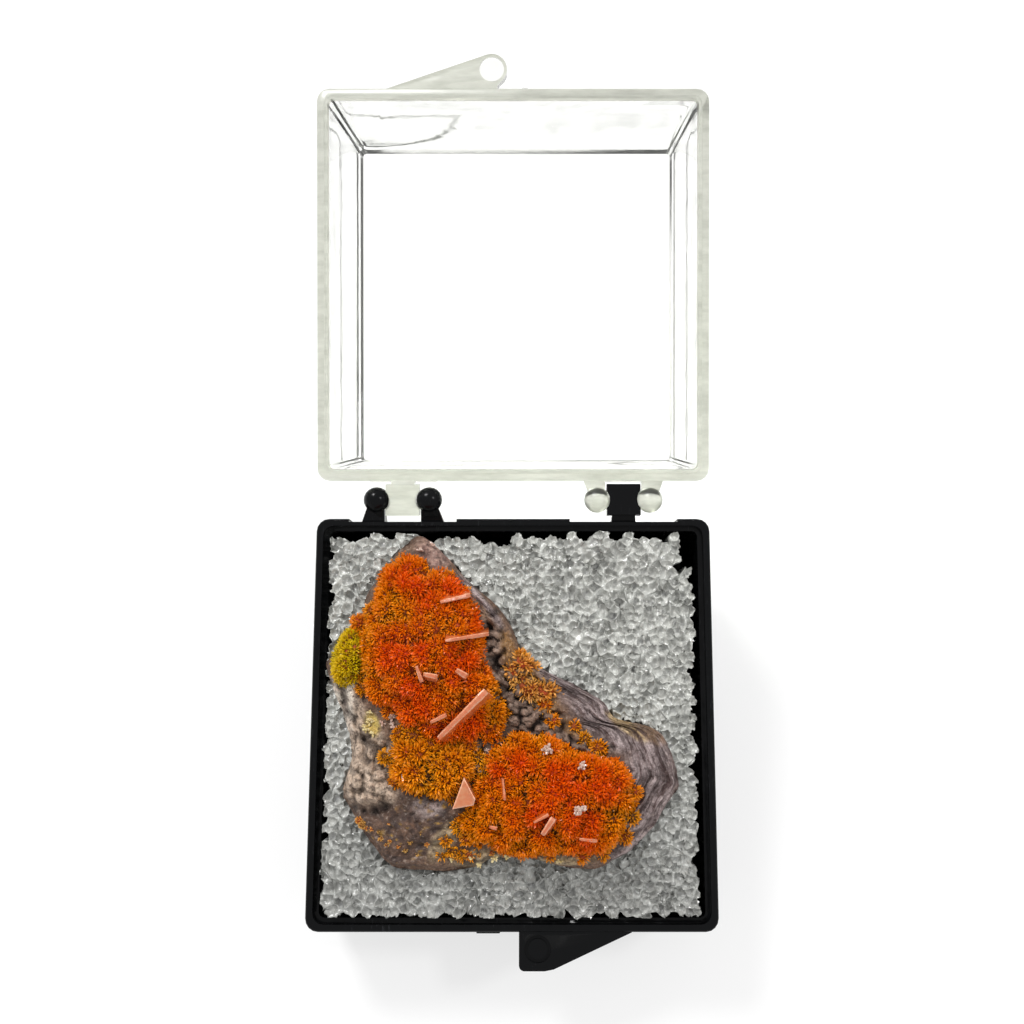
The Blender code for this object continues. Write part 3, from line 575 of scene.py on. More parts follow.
# Cavities: x, y, radius, depth
CAVITIES = [
    (-12.0, -23.85, 0.34, 0.5), (-11.3, -24.1, 0.28, 0.6), (-10.4, -24.05, 0.36, 0.8),
    (-9.6, -23.8, 0.40, 0.9), (-6.7, -22.2, 0.80, 0.7), (-6.2, -23.0, 0.40, 0.4),
    (-1.2, -9.0, 0.4, 0.4), (-1.5, -12.7, 0.4, 0.5), (-0.9, -15.0, 0.45, 0.6),
    (-0.6, -16.9, 0.4, 0.5), (0.6, -18.3, 0.4, 0.5), (2.2, -18.6, 0.4, 0.5),
    (1.8, -15.8, 0.35, 0.5), (3.9, -17.6, 0.3, 0.4), (-1.8, -10.4, 0.35, 0.4),
    (-2.3, -19.9, 0.4, 0.5), (-13.0, -15.9, 0.25, 0.4), (-12.7, -19.9, 0.25, 0.4),
    (-10.9, -20.4, 0.22, 0.3), (-11.4, -18.9, 0.25, 0.4),
]
FRAYED = 0.35
VUG_SIZE = 0.58
# The crust's knobs: diameter and seed, the largest first
DOME_SIZES = ((1.45, 63), (0.66, 65), (0.40, 66))


def patch(x, y, ellipses):
    """1 inside any of the ellipses, fading to 0 over a ragged edge."""
    fray = 0.22 * rough(x, y, 0.9, 51, 3)
    shape = np.zeros(np.shape(x))
    for cx, cy, rx, ry, turn in ellipses:
        c, s = math.cos(math.radians(turn)), math.sin(math.radians(turn))
        dx, dy = x - cx, y - cy
        away = np.hypot((dx * c + dy * s) / rx, (dy * c - dx * s) / ry) + fray
        shape = np.maximum(shape, 1 - step_up(away, 1 - FRAYED, 1 + FRAYED))
    return shape


def rock_top(x, y):
    """The lump's even top: a floor with four low hills."""
    height = np.ones(np.shape(x))
    for hill_x, hill_y, rise, spread in ROCK_HILLS:
        height = height + rise * np.exp(
            -((x - hill_x) ** 2 + (y - hill_y) ** 2) / (2 * spread ** 2))
    return height


def hump(x, y, spot_x, spot_y, size):
    """A round hump of height 1 that fades out over about this radius."""
    return np.exp(-((x - spot_x) ** 2 + (y - spot_y) ** 2) / size ** 2)


def round_flank(x, y):
    """How far out from the rock's middle a place lies and how far round it, in millimetres."""
    return (12.5 * reach(ROCK_OUTLINE, ROCK_CENTRE, x, y),
            12.0 * np.arctan2(y - ROCK_CENTRE[1], x - ROCK_CENTRE[0]))


def layers(x, y, size, seed):
    """Thin broken layers that run round the right flank beside its edge, from 0 to 1."""
    across, along = round_flank(x, y)
    across = across + 0.45 * rough(x, y, 2.2, seed + 5, 3)
    return 1 - np.abs(2 * swell(across / size, along / (size * 5), 1.0, seed) - 1)


def rock_relief(x, y):
    """What the weathered surface adds to the lump's even top."""
    pale, flank, vugs, dark = (patch(x, y, zone) for zone in (PALE_CRUST, FLANK, VUGS, DARK_BASE))
    large, small, fine = (domes(x, y, *size) for size in DOME_SIZES)
    near = knobs(x, y, VUG_SIZE, 69)[0]
    relief = 0.45 * rough(x, y, 1.8, 61, 5)
    relief += pale * (0.60 * large + 0.36 * small + 0.16 * fine - 0.48)
    relief += 0.65 * np.sqrt(np.clip(1 - np.hypot(x + 11.1, y + 21.9) ** 2 / 2.9, 0, 1)) * pale
    relief += flank * (
        0.46 * layers(x, y, 0.75, 67) ** 2 + 0.28 * layers(x, y, 0.38, 68) ** 2 - 0.35)
    relief += vugs * (0.36 * np.clip(1 - near / 0.6, 0, 1) - 0.55 * step_up(near, 0.40, 0.80)
                      + 0.46 * rough(x, y, 0.50, 70, 3))
    relief += patch(x, y, CREAM_RIM) * 0.34 * domes(x, y, 0.7, 72)
    relief += dark * (0.34 * rough(x, y, 0.8, 73, 3) + 0.20 * domes(x, y, 0.55, 75))
    relief += patch(x, y, BARE_TIP) * 0.45 * rough(x, y, 0.9, 74, 3)
    for hole_x, hole_y, size, depth in CAVITIES:
        relief -= depth * hump(x, y, hole_x, hole_y, size)
    return relief


def rock_colour(x, y):
    """The stone's colours, zone by zone, with its mottling and with painted shade in its low places, crust hollows
    and cavities.
    """
    def tint(colour, other, noise):
        """Two colours mixed by a noise, one mix for every point."""
        return np.array(colour) + (np.array(other) - np.array(colour)) * noise[:, None]

    fine = np.clip(0.5 + 0.9 * rough(x, y, 0.5, 81, 3), 0, 1)
    broad = np.clip(0.5 + 0.8 * rough(x, y, 1.8, 82, 3), 0, 1)
    colour = tint((0.24, 0.135, 0.080), (0.12, 0.062, 0.035), fine)
    # Painted shade: the vugs' pits between the knobs are painted near black, with some random mottling
    pit_shade_and_mottle = step_up(knobs(x, y, VUG_SIZE, 69)[0], 0.35, 0.75) + 0.5 * (1 - fine)
    leaves = layers(x, y, 0.75, 67) * (0.20 + 0.80 * layers(x, y, 0.38, 68))
    for zone, first, second, noise in (
            (VUGS, (0.40, 0.27, 0.20), (0.060, 0.028, 0.016), np.clip(pit_shade_and_mottle, 0, 1)),
            (DARK_BASE, (0.170, 0.088, 0.050), (0.045, 0.026, 0.022), fine),
            (FLANK, (0.66, 0.53, 0.52), (0.045, 0.022, 0.024), 1 - leaves),
            (BARE_TIP, (0.46, 0.29, 0.23), (0.26, 0.145, 0.125), fine),
            (PALE_CRUST, (0.76, 0.59, 0.45), (0.36, 0.24, 0.155), fine * (0.4 + 0.6 * broad)),
            (PALE_UPPER, (1.0, 0.90, 0.76), (0.78, 0.62, 0.50), fine),
            (CREAM_RIM, (0.66, 0.50, 0.30), (0.20, 0.13, 0.050), fine),
            (LAVENDER_PATCH, (0.52, 0.42, 0.40), (0.20, 0.14, 0.12), broad),
            (YELLOW_BAND, (0.95, 0.70, 0.36), (0.62, 0.40, 0.16), fine),
            (RUSTY_BAND, (0.20, 0.10, 0.050), (0.36, 0.22, 0.12), broad),
            (YELLOW_CRUST, (0.86, 0.68, 0.20), (0.62, 0.42, 0.08), fine),
            (GOLDEN_CRUST, (0.42, 0.20, 0.035), (0.16, 0.075, 0.02), fine)):
        share = patch(x, y, zone)[:, None] * (0.7 if zone is GOLDEN_CRUST else 1.0)
        colour = colour * (1 - share) + tint(first, second, noise) * share
    specks = step_up(swell(x, y, 0.30, 91), 0.78, 0.9) * patch(x, y, DARK_BASE) * step_up(
        swell(x, y, 2.2, 92), 0.35, 0.6)
    colour = tint(colour, (0.50, 0.27, 0.03), specks)
    # Painted shade: the relief's low places and the hollows between the crust's knobs are painted darker
    pale = patch(x, y, PALE_CRUST + CREAM_RIM)
    hollows = np.min([domes(x, y, *size) + rise
                      for size, rise in zip(DOME_SIZES, (0.25, 0.40, 0.50))], 0)
    shade = (0.42 + 0.58 * step_up(rock_relief(x, y), -0.60, 0.30)) * (
        1 - pale * 0.60 * (1 - step_up(hollows, 0.3, 0.8)))
    # Painted shade: each cavity is painted darker towards its middle
    for hole_x, hole_y, size, _ in CAVITIES:
        shade = shade * (1 - 0.85 * hump(x, y, hole_x, hole_y, 0.75 * size))
    return np.clip(colour * shade[:, None], 0, 1)


def lump(loop, centre, shares, top, bottoms):
    """Rings that shrink towards a centre over a top, and then under it, closed at both ends."""
    centre = np.array(centre)
    arms = np.asarray(loop) - centre
    if np.cross(arms, np.roll(arms, -1, 0)).sum() < 0:
        arms = arms[::-1]
    count = len(arms)
    rings = [np.c_[centre + arms * share, np.full(count, height)]
             for share, height in reversed(bottoms)]
    for share in shares:
        flat = centre + arms * share
        rings.append(np.c_[flat, top(flat[:, 0], flat[:, 1], share)])
    summit = float(top(centre[:1], centre[1:], 0.0)[0])
    points = np.concatenate(rings + [[(*centre, bottoms[-1][1]), (*centre, summit)]])
    circles = np.arange(len(rings) * count).reshape(-1, count).tolist()
    faces = [quad for low, high in zip(circles, circles[1:]) for quad in band(low, high)]
    faces += [(b, a, len(points) - 2) for a, b in pairs(circles[0])]
    faces += [(a, b, len(points) - 1) for a, b in pairs(circles[-1])]
    return points, faces


def rock_surface(x, y, share):
    """The top over the whole rock; the rim rolls over and is ragged."""
    roll = 0.55 * step_up(np.full(np.shape(x), share), 0.955, 1.0)
    return rock_top(x, y) + rock_relief(x, y) - roll


loop = smooth_loop(ROCK_OUTLINE, 17)
arms = loop - np.array(ROCK_CENTRE)
loop = np.array(ROCK_CENTRE) + arms * (
    1 + 0.012 * rough(loop[:, 0], loop[:, 1], 1.5, 95, 4))[:, None]
rock_points, rock_faces = lump(
    loop, ROCK_CENTRE, 1 - np.linspace(0, 1, 145)[:-1] ** 1.12, rock_surface,
    [(1.004, 1.00), (1.0, 0.72), (0.985, 0.42), (0.965, 0.05), (0.94, -0.9), (0.86, -2.4),
     (0.70, -2.95), (0.4, -3.0)])
wobble = rough(rock_points[:, 0], rock_points[:, 2] + rock_points[:, 1], 0.9, 96, 3)
sides = (rock_points[:, 2] < 1.2) & (rock_points[:, 2] > -2.0)
rock_points[sides, :2] += (
    rock_points[sides, :2] - np.array(ROCK_CENTRE)) * (0.010 * wobble[sides])[:, None]

stone, shader, place = finish_named("matrix_stone")
# The stone's colours carry painted shade in its low places and cavities
painted = carried(place, "stain", "Color")
grit = speckle(place, 0.16, 4.0, 0.65)
crumbs = speckle(place, 0.5, 4.0, 0.6)
grains = speckle(place, 0.34, 3.0, 0.7)
# The flank's layers run beside its edge: the bedding holds the places across and along them
across, along, on_flank = add(place, "ShaderNodeSeparateXYZ", {
    "Vector": carried(place, "bedding", "Vector")}).outputs
sheets = add(place, "ShaderNodeTexNoise", {
    "Vector": add(place, "ShaderNodeCombineXYZ", {
        "X": reckon("MULTIPLY", across, 3.4), "Y": reckon("MULTIPLY", along, 0.45)}),
    "Scale": 1.0, "Detail": 3.0, "Roughness": 0.6}).outputs["Fac"]
layered = reckon("MULTIPLY", on_flank, 0.9)
for stops, colour in ((((0.40, 1.0), (0.50, 0.0)), (0.060, 0.028, 0.028)),
                      (((0.52, 0.0), (0.66, 0.75)), (0.62, 0.50, 0.49))):
    painted = blended(reckon("MULTIPLY", layered, ramp(sheets, *stops)), painted, colour)
for noise, stops, colour in ((grains, ((0.36, 0.75), (0.50, 0.0)), (0.040, 0.022, 0.018)),
                             (grains, ((0.56, 0.0), (0.72, 0.32)), (0.80, 0.66, 0.56)),
                             (grit, ((0.38, 0.40), (0.66, 0.0)), (0.055, 0.030, 0.022))):
    painted = blended(ramp(noise, *stops), painted, colour)
sheeted = bumped(reckon("MULTIPLY", layered, sheets), 0.35)
fill(shader, {
    "Base Color": painted, "Roughness": ramp(crumbs, (0.3, 0.45), (0.7, 0.85)),
    "Normal": bumped(grit, 0.10, bumped(crumbs, 0.28, sheeted))})

rock_x, rock_y = rock_points[:, 0], rock_points[:, 1]
across, along = round_flank(rock_x, rock_y)
rock = placed("matrix_rock_lump", mesh_of(
    "matrix_rock_lump", rock_points, rock_faces, [stone], stain=rock_colour(rock_x, rock_y),
    bedding=np.c_[across + 0.35 * rough(rock_x, rock_y, 1.6, 97, 3), along,
                  patch(rock_x, rock_y, FLANK)]))
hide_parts("matrix_rock")

# Mimetite druses
# Thousands of tiny tapered needles stand in tufts on the matrix: red-orange in the hearts of the
# tufts, golden at their edges and tips, with dark gaps between. Each druse is one grown crust.

NEEDLE_LENGTH = 0.45
NEEDLE_WIDTH = 0.112
SPLAY = 0.55
TUFT, TUFT_RISE = 1.25, 0.95
# Each druse's centre, its thickness in the middle and at the edge, and its outline
DRUSES = {
    "mimetite_druse_upper": ((-5.9, -12.2), 1.7, 0.5, [
        (-7.5, -5.1), (-6.2, -5.9), (-4.7, -6.8), (-3.1, -8.6), (-2.7, -10.2), (-2.5, -12.0),
        (-2.0, -13.6), (-1.1, -15.2), (-0.8, -16.4), (-1.2, -17.9), (-3.1, -18.9), (-5.4, -18.7),
        (-8.0, -17.6), (-8.9, -15.9), (-10.4, -15.6), (-11.3, -14.2), (-11.5, -12.4),
        (-11.2, -10.6), (-10.5, -8.6), (-10.0, -6.4), (-8.6, -5.0),
    ]),
    "mimetite_druse_left": ((-12.7, -12.3), 1.3, 0.4, [
        (-12.2, -10.5), (-12.8, -10.9), (-13.5, -11.9), (-13.7, -12.9), (-13.4, -13.9),
        (-12.7, -14.3), (-12.0, -13.8), (-11.8, -12.3), (-11.8, -11.2),
    ]),
    "mimetite_druse_middle": ((-6.0, -20.7), 1.4, 0.4, [
        (-8.8, -19.2), (-7.4, -18.9), (-5.4, -19.3), (-3.6, -19.6), (-3.2, -21.0), (-4.6, -22.5),
        (-6.5, -22.3), (-8.0, -21.8), (-8.9, -20.7),
    ]),
    "mimetite_druse_lower": ((2.8, -22.6), 1.6, 0.5, [
        (-0.5, -18.8), (1.4, -18.5), (3.3, -18.9), (4.8, -19.7), (6.6, -20.2), (8.2, -20.7),
        (9.0, -22.0), (8.9, -24.1), (8.0, -25.7), (6.4, -26.8), (3.6, -26.9), (-0.1, -26.8),
        (-3.0, -25.9), (-3.9, -24.4), (-3.0, -22.9), (-2.3, -21.2), (-1.6, -20.1),
    ]),
    "mimetite_druse_right": ((1.6, -14.6), 0.8, 0.3, [
        (0.2, -12.2), (1.3, -13.0), (2.6, -14.3), (3.4, -15.6), (2.8, -16.6), (1.4, -15.9),
        (0.2, -14.5), (-0.3, -13.2),
    ]),
}
# Hearts of deeper red and the palest spots: x, y, radius
HEARTS = [
    (-4.9, -7.6, 1.7), (-6.6, -8.0, 1.3), (-8.8, -12.1, 1.9), (-6.9, -11.6, 1.2),
    (-4.0, -12.8, 1.7), (-7.4, -15.6, 1.9), (-3.2, -17.4, 1.6), (-2.9, -9.9, 1.1),
    (-8.2, -6.5, 1.2), (-5.2, -17.9, 1.2), (4.1, -21.9, 2.2), (6.9, -22.0, 1.7),
    (2.1, -24.1, 1.6), (0.8, -20.3, 1.1), (5.4, -24.4, 1.5), (-0.9, -21.2, 0.9), (5.6, -26.2, 0.9),
]
PALEST = [(-11.0, -11.0, 1.1), (-11.3, -13.2, 1.0), (-8.9, -9.3, 1.1), (-1.4, -16.4, 1.0),
          (-3.3, -24.9, 1.2), (7.9, -24.4, 1.0)]
# Small tufts that stand alone round the druses and in the hollows of the band: x, y, radius
STRAY_TUFTS = [
    (0.61, -12.4, 0.30), (2.54, -16.12, 0.40), (3.14, -17.38, 0.36), (4.82, -17.76, 0.30),
    (5.58, -18.72, 0.36), (6.6, -19.3, 0.45), (-4.92, -6.3, 0.32), (-3.72, -7.6, 0.34),
    (-7.5, -18.4, 0.60), (-6.2, -19.0, 0.55), (-4.5, -19.1, 0.55), (-3.3, -19.3, 0.50),
    (-2.6, -20.1, 0.42), (-1.9, -21.0, 0.45), (-2.4, -22.4, 0.45), (-3.3, -22.7, 0.45),
    (-4.4, -22.9, 0.40), (-3.9, -25.1, 0.50), (-3.4, -26.0, 0.42), (-11.9, -9.9, 0.50),
    (-12.0, -11.1, 0.55), (-11.9, -13.5, 0.50), (-11.4, -14.8, 0.50), (-10.8, -9.0, 0.50),
    (-0.7, -16.8, 0.42), (-8.6, -18.2, 0.45), (-9.4, -16.6, 0.35), (-5.0, -26.2, 0.24),
    (0.8, -27.2, 0.24), (2.9, -27.2, 0.26), (5.3, -27.3, 0.34), (6.9, -27.2, 0.32),
    (8.6, -25.9, 0.38), (9.1, -24.4, 0.38), (9.3, -22.6, 0.38), (-9.6, -20.0, 0.36),
    (-8.9, -21.8, 0.34), (-7.2, -22.6, 0.30), (-4.6, -26.9, 0.28), (-3.9, -27.3, 0.30),
    (-5.3, -27.3, 0.22), (-3.2, -27.3, 0.26),
]
# Yellow specks on the bare stone at the lower left
SPECKS = [
    (-11.65, -24.75, 0.20), (-11.35, -25.05, 0.24), (-11.0, -25.3, 0.10), (-10.6, -25.35, 0.12),
    (-10.1, -25.5, 0.10), (-9.9, -26.1, 0.15), (-9.5, -26.5, 0.10), (-9.2, -26.2, 0.12),
    (-8.9, -25.4, 0.08), (-8.6, -26.6, 0.10), (-7.7, -26.3, 0.10), (-8.1, -26.9, 0.12),
    (-7.2, -27.2, 0.10), (-9.3, -24.9, 0.07), (-6.9, -25.6, 0.08), (-6.4, -26.5, 0.12),
    (-5.8, -27.1, 0.12), (-1.5, -27.1, 0.16), (-2.4, -27.4, 0.12), (-4.4, -27.2, 0.14),
]


def redness(x, y):
    """0 where a druse is golden, 1 in its red hearts."""
    hearts = np.zeros(np.shape(x))
    for spot in HEARTS:
        hearts = np.maximum(hearts, hump(x, y, *spot))
    for spot in PALEST:
        hearts = hearts - 0.6 * hump(x, y, *spot)
    return np.clip(0.16 + 0.84 * hearts + 0.30 * rough(x, y, 1.1, 101, 3), 0, 1)


def needle_mesh():
    """One tapered needle of unit size, three-sided, closed, with 0 at its root and 1 at its tip."""
    points = [(radius * math.cos(turn), radius * math.sin(turn), height)
              for height, radius in ((0.0, 0.38), (0.66, 0.50))
              for turn in (0.0, 2 * math.pi / 3, 4 * math.pi / 3)] + [(0.0, 0.0, 1.0)]
    faces = []
    for k, after in pairs([0, 1, 2]):
        faces += [(k, after, after + 3, k + 3), (k + 3, after + 3, 6)]
    mesh = mesh_of("mimetite_needle", points, faces + [(2, 1, 0)], smooth=False, stand=Matrix(),
                   along=[point[2] for point in points])
    return bpy.data.objects.new("mimetite_needle", mesh)


def drawn(tree, low, high, seed):
    """A random number for each needle."""
    return add(tree, "FunctionNodeRandomValue", {2: low, 3: high, "Seed": seed},
               data_type="FLOAT").outputs[1]


def bristle_tree():
    """Needles sown over a ground, standing square to it but splayed, each with its own size."""
    tree = bpy.data.node_groups.new("needle_bristle", "GeometryNodeTree")
    sockets = {}
    for name, kind in (("Ground", "Geometry"), ("Needle", "Object"), ("Per square mm", "Float"),
                       ("Length", "Float"), ("Width", "Float"), ("Splay", "Float"),
                       ("Seed", "Int"), ("Finish", "Material")):
        sockets[name] = tree.interface.new_socket(
            name, in_out="INPUT", socket_type="NodeSocket" + kind).identifier
    tree.interface.new_socket("Bristle", in_out="OUTPUT", socket_type="NodeSocketGeometry")
    given = tree.nodes.new("NodeGroupInput").outputs
    cover = add(tree, "GeometryNodeInputNamedAttribute", {"Name": "cover"}, data_type="FLOAT")
    spots = add(tree, "GeometryNodeDistributePointsOnFaces", {
        "Mesh": given["Ground"], "Density": reckon("MULTIPLY", cover, given["Per square mm"]),
        "Seed": given["Seed"]})
    aside = add(tree, "FunctionNodeRandomValue", {0: (-1, -1, -1), 1: (1, 1, 1), "Seed": 7},
                data_type="FLOAT_VECTOR")
    swung = add(tree, "ShaderNodeVectorMath", {0: aside, "Scale": given["Splay"]},
                operation="SCALE")
    lean_to = add(tree, "ShaderNodeVectorMath", {0: spots.outputs["Normal"], 1: swung})
    spun = add(tree, "FunctionNodeRotateRotation", {
        "Rotation": add(tree, "FunctionNodeAlignRotationToVector", {"Vector": lean_to}, axis="Z"),
        "Rotate By": add(tree, "FunctionNodeAxisAngleToRotation", {
            "Axis": (0, 0, 1), "Angle": drawn(tree, 0.0, 6.283, 9)})}, rotation_space="LOCAL")
    wide = reckon("MULTIPLY", given["Width"], drawn(tree, 0.7, 1.45, 10))
    size = add(tree, "ShaderNodeCombineXYZ", {
        "X": wide, "Y": wide, "Z": reckon("MULTIPLY", given["Length"], drawn(tree, 0.45, 1.25, 8))})
    toned = add(tree, "GeometryNodeStoreNamedAttribute", {
        "Geometry": spots, "Name": "own", "Value": drawn(tree, 0.0, 1.0, 11)},
        data_type="FLOAT", domain="POINT")
    sown = add(tree, "GeometryNodeInstanceOnPoints", {
        "Points": toned, "Rotation": spun, "Scale": size, "Instance": add(
            tree, "GeometryNodeObjectInfo", {"Object": given["Needle"]}).outputs["Geometry"]})
    finished = add(tree, "GeometryNodeSetMaterial", {
        "Geometry": add(tree, "GeometryNodeRealizeInstances", {"Geometry": sown}),
        "Material": given["Finish"]})
    both = add(tree, "GeometryNodeJoinGeometry", {0: finished})
    fill(both, {0: given["Ground"]})
    fill(tree.nodes.new("NodeGroupOutput"), {"Bristle": both})
    return tree, sockets


def bristled(name, ground, density, length, width, splay, seed, finish):
    """A ground mesh in millimetres with its needles grown, as one plain mesh in room metres."""
    grower = bpy.data.objects.new(name, ground)
    bpy.context.scene.collection.objects.link(grower)
    modifier = grower.modifiers.new("needles", "NODES")
    modifier.node_group = BRISTLE
    for socket, value in (("Needle", NEEDLE), ("Per square mm", float(density)),
                          ("Length", length), ("Width", width), ("Splay", splay), ("Seed", seed),
                          ("Finish", finish)):
        modifier[SOCKETS[socket]] = value
    shown = grower.evaluated_get(bpy.context.evaluated_depsgraph_get())
    mesh = bpy.data.meshes.new_from_object(shown)
    bpy.data.objects.remove(grower)
    mesh.transform(box_to_room)
    mesh.name = name
    return mesh


def needle_finish(name, golden, red, tip):
    """Satin needles: the druse's own colour, with painted shade darker at the root, and paler at the tip."""
    material, shader, place = finish_named(name)
    heart, along, own = (carried(place, label) for label in ("heart", "along", "own"))
    point = blended(heart, tip, tuple(0.7 * a + 0.3 * b for a, b in zip(red, tip)))
    # Painted shade: each needle's root is painted far darker, for the shade deep among the needles
    root = blended(heart, tuple(c * 0.16 for c in golden), tuple(c * 0.75 for c in red))
    lit = blended(ramp(own, (0.15, 0.0), (1.0, 0.55)), blended(heart, golden, red), point)
    stem = blended(ramp(along, (0.05, 0.0), (0.60, 1.0)), root, lit)
    fill(shader, {
        "Base Color": blended(ramp(along, (0.75, 0.0), (1.0, 0.45)), stem, point),
        "Roughness": ramp(own, (0.0, 0.22), (1.0, 0.42)), "Specular IOR Level": 0.28})
    return material


dark_ground, shader, place = finish_named("druse_ground")
# Partly painted shade: the ground between the needles is painted dark brown for the shade in the gaps, over the
# crust's own brown; red under the hearts
gap_colour_and_shade = ramp(speckle(place, 0.3), (0.35, (0.075, 0.030, 0.008)), (0.7, (0.20, 0.075, 0.010)))
fill(shader, {
    "Base Color": blended(carried(place, "heart"), gap_colour_and_shade, (0.60, 0.050, 0.002)),
    "Normal": bumped(speckle(place, 0.12), 0.06), "Roughness": 0.8})

orange_needles = needle_finish(
    "mimetite_orange", (0.68, 0.20, 0.001), (0.74, 0.072, 0.0004), (0.90, 0.35, 0.003))
golden_needles = needle_finish(
    "mimetite_golden", (0.66, 0.22, 0.002), (0.76, 0.14, 0.001), (0.90, 0.42, 0.012))
yellow_needles = needle_finish(
    "mimetite_yellow", (0.60, 0.42, 0.003), (0.66, 0.32, 0.002), (0.78, 0.62, 0.012))
tan_needles = needle_finish(
    "mimetite_tan", (0.56, 0.27, 0.05), (0.72, 0.19, 0.01), (0.80, 0.50, 0.15))
BRISTLE, SOCKETS = bristle_tree()
NEEDLE = needle_mesh()

# Each druse's finish and slot, needles per square millimetre, and their length and stoutness
DRUSE_LOOKS = {
    "mimetite_druse_upper": (orange_needles, "mimetite_orange", 103, NEEDLE_LENGTH, 1.0),
    "mimetite_druse_left": (yellow_needles, "mimetite_yellow", 130, 0.42, 0.8),
    "mimetite_druse_middle": (golden_needles, "mimetite_golden", 95, 0.62, 1.15),
    "mimetite_druse_lower": (orange_needles, "mimetite_orange", 130, NEEDLE_LENGTH, 1.0),
    "mimetite_druse_right": (tan_needles, "mimetite_golden", 48, 0.55, 1.1),
}


def druse_top(centre, middle, edge, outline, x, y):
    """The height of a druse's needle tips over the rim plane."""
    away = np.clip(reach(outline, centre, x, y), 0, 1)
    return rock_top(x, y) + 0.20 + edge + (middle - edge) * np.sqrt(np.clip(1 - away ** 3, 0, 1))


def tufts(x, y):
    """The rounded tufts that the needles radiate from."""
    return TUFT_RISE * domes(x, y, TUFT, 111) + 0.28 * domes(x, y, 0.60, 113)


for seed, (name, (centre, middle, edge, outline)) in enumerate(DRUSES.items(), 1):
    finish, slot, density, length, stout = DRUSE_LOOKS[name]

    def mound(x, y, share):
        """The ground that this druse's needles stand on."""
        top = druse_top(centre, middle, edge, outline, x, y)
        fall = 0.25 * step_up(np.full(np.shape(x), share), 0.9, 1.0)
        return top - TUFT_RISE - 0.75 * length + tufts(x, y) - fall

    loop = smooth_loop(outline, 8)
    wide = np.ptp(loop[:, 0]) + np.ptp(loop[:, 1])
    grow = 1.0 + 0.9 / wide + 0.06 * rough(loop[:, 0], loop[:, 1], 1.3, 115, 3)
    loop = np.array(centre) + (loop - np.array(centre)) * grow[:, None]
    shares = 1 - np.linspace(0, 1, 12 + int(wide * 2.2))[:-1]
    points, faces = lump(loop, centre, shares, mound, [(1.0, 0.4), (0.7, 0.2), (0.3, 0.2)])
    raised = tufts(points[:, 0], points[:, 1])
    cover = (points[:, 2] > 0.5) * np.clip(-0.12 + 1.3 * raised, 0, 1)
    heart = np.clip(redness(points[:, 0], points[:, 1]) + 0.5 * (raised - 0.55), 0, 1)
    ground = mesh_of(
        "ground", points, faces, [dark_ground], stand=Matrix(), cover=cover, heart=heart)
    druse = placed(name + "_needles", bristled(
        name + "_needles", ground, density, length, NEEDLE_WIDTH * stout, SPLAY, seed, finish))
    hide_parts(name)


def stone_height(x, y):
    """The bare stone's height at one place."""
    x, y = np.array([x]), np.array([y])
    return float((rock_top(x, y) + rock_relief(x, y))[0])


def joined(solids):
    """The points and faces of several solids as those of one mesh."""
    points, faces = [], []
    for more, around in solids:
        faces += [tuple(k + len(points) for k in face) for face in around]
        points += list(more)
    return points, faces


def tuft_ground(x, y, radius):
    """A low dome on the stone, for needles to be sown on."""
    turns = np.linspace(0, 2 * np.pi, 12, endpoint=False)
    foot = stone_height(x, y) - 0.08

    def cap(px, py, share):
        """The dome's height, the same all round."""
        return np.full(np.shape(px), foot + 0.9 * radius * math.sqrt(max(0.0, 1 - share ** 2)))

    return lump(np.c_[x + radius * np.cos(turns), y + radius * np.sin(turns)], (x, y),
                [0.98, 0.85, 0.6, 0.3], cap, [(1.0, foot - 0.25), (0.5, foot - 0.3)])


def scattered(name, spots, *sowing):
    """Small tufts of needles on the bare stone, as one piece."""
    points, faces = joined(tuft_ground(*spot) for spot in spots)
    hearts = [0.55 * float(lattice(x, y, 117)) ** 2 for x, y, _ in spots]
    ground = mesh_of("ground", points, faces, [dark_ground], stand=Matrix(),
                     cover=np.ones(len(points)), heart=np.repeat(hearts, len(points) // len(spots)))
    return placed(name, bristled(name, ground, *sowing))


strays = scattered(
    "mimetite_stray_tufts", STRAY_TUFTS, 105, 0.40, 0.085, 0.6, 21, golden_needles)
specks = scattered("mimetite_specks", SPECKS, 220, 0.14, 0.07, 0.7, 22, tan_needles)

# Wulfenite plates
# Thin tabular crystals on edge among the needles: glassy orange through their broad faces, milky
# pink along the edges that stand out. One thick wedge lies over with its broad face up.

# Exposed edge's start and end, its height over the druse at both, how far the foot lies to its
# side, and the thickness
PLATES = [
    (-5.48, -18.50, -1.90, -14.98, 0.55, 1.00, 0.70, 0.45),
    (-4.90, -11.26, -1.78, -10.75, 0.70, 0.80, -0.50, 0.28),
    (-5.40, -8.38, -3.22, -7.80, 0.35, 0.70, -0.45, 0.30),
    (-6.50, -13.70, -5.50, -13.90, 0.60, 0.70, 0.45, 0.35),
    (-7.05, -13.10, -6.62, -14.30, 0.45, 0.55, -0.10, 0.26),
    (-4.09, -13.40, -3.30, -13.92, 0.50, 0.45, 0.30, 0.40),
    (-6.05, -17.30, -4.87, -16.72, 0.40, 0.45, -0.30, 0.25),
    (-0.61, -21.40, -0.45, -22.90, 0.30, 0.45, 0.25, 0.16),
    (-1.62, -24.88, -1.02, -25.00, 0.35, 0.30, 0.20, 0.24),
    (1.67, -24.48, 2.75, -23.86, 0.30, 0.40, -0.30, 0.20),
    (2.30, -25.35, 3.12, -24.10, 0.55, 0.45, 0.35, 0.40),
    (5.05, -25.70, 6.40, -25.92, 0.35, 0.30, 0.30, 0.22),
]
WEDGE = [(-3.52, -21.30), (-2.66, -22.86), (-2.80, -23.35), (-4.40, -23.66)]
ROOT = 1.1
STATIONS = 9
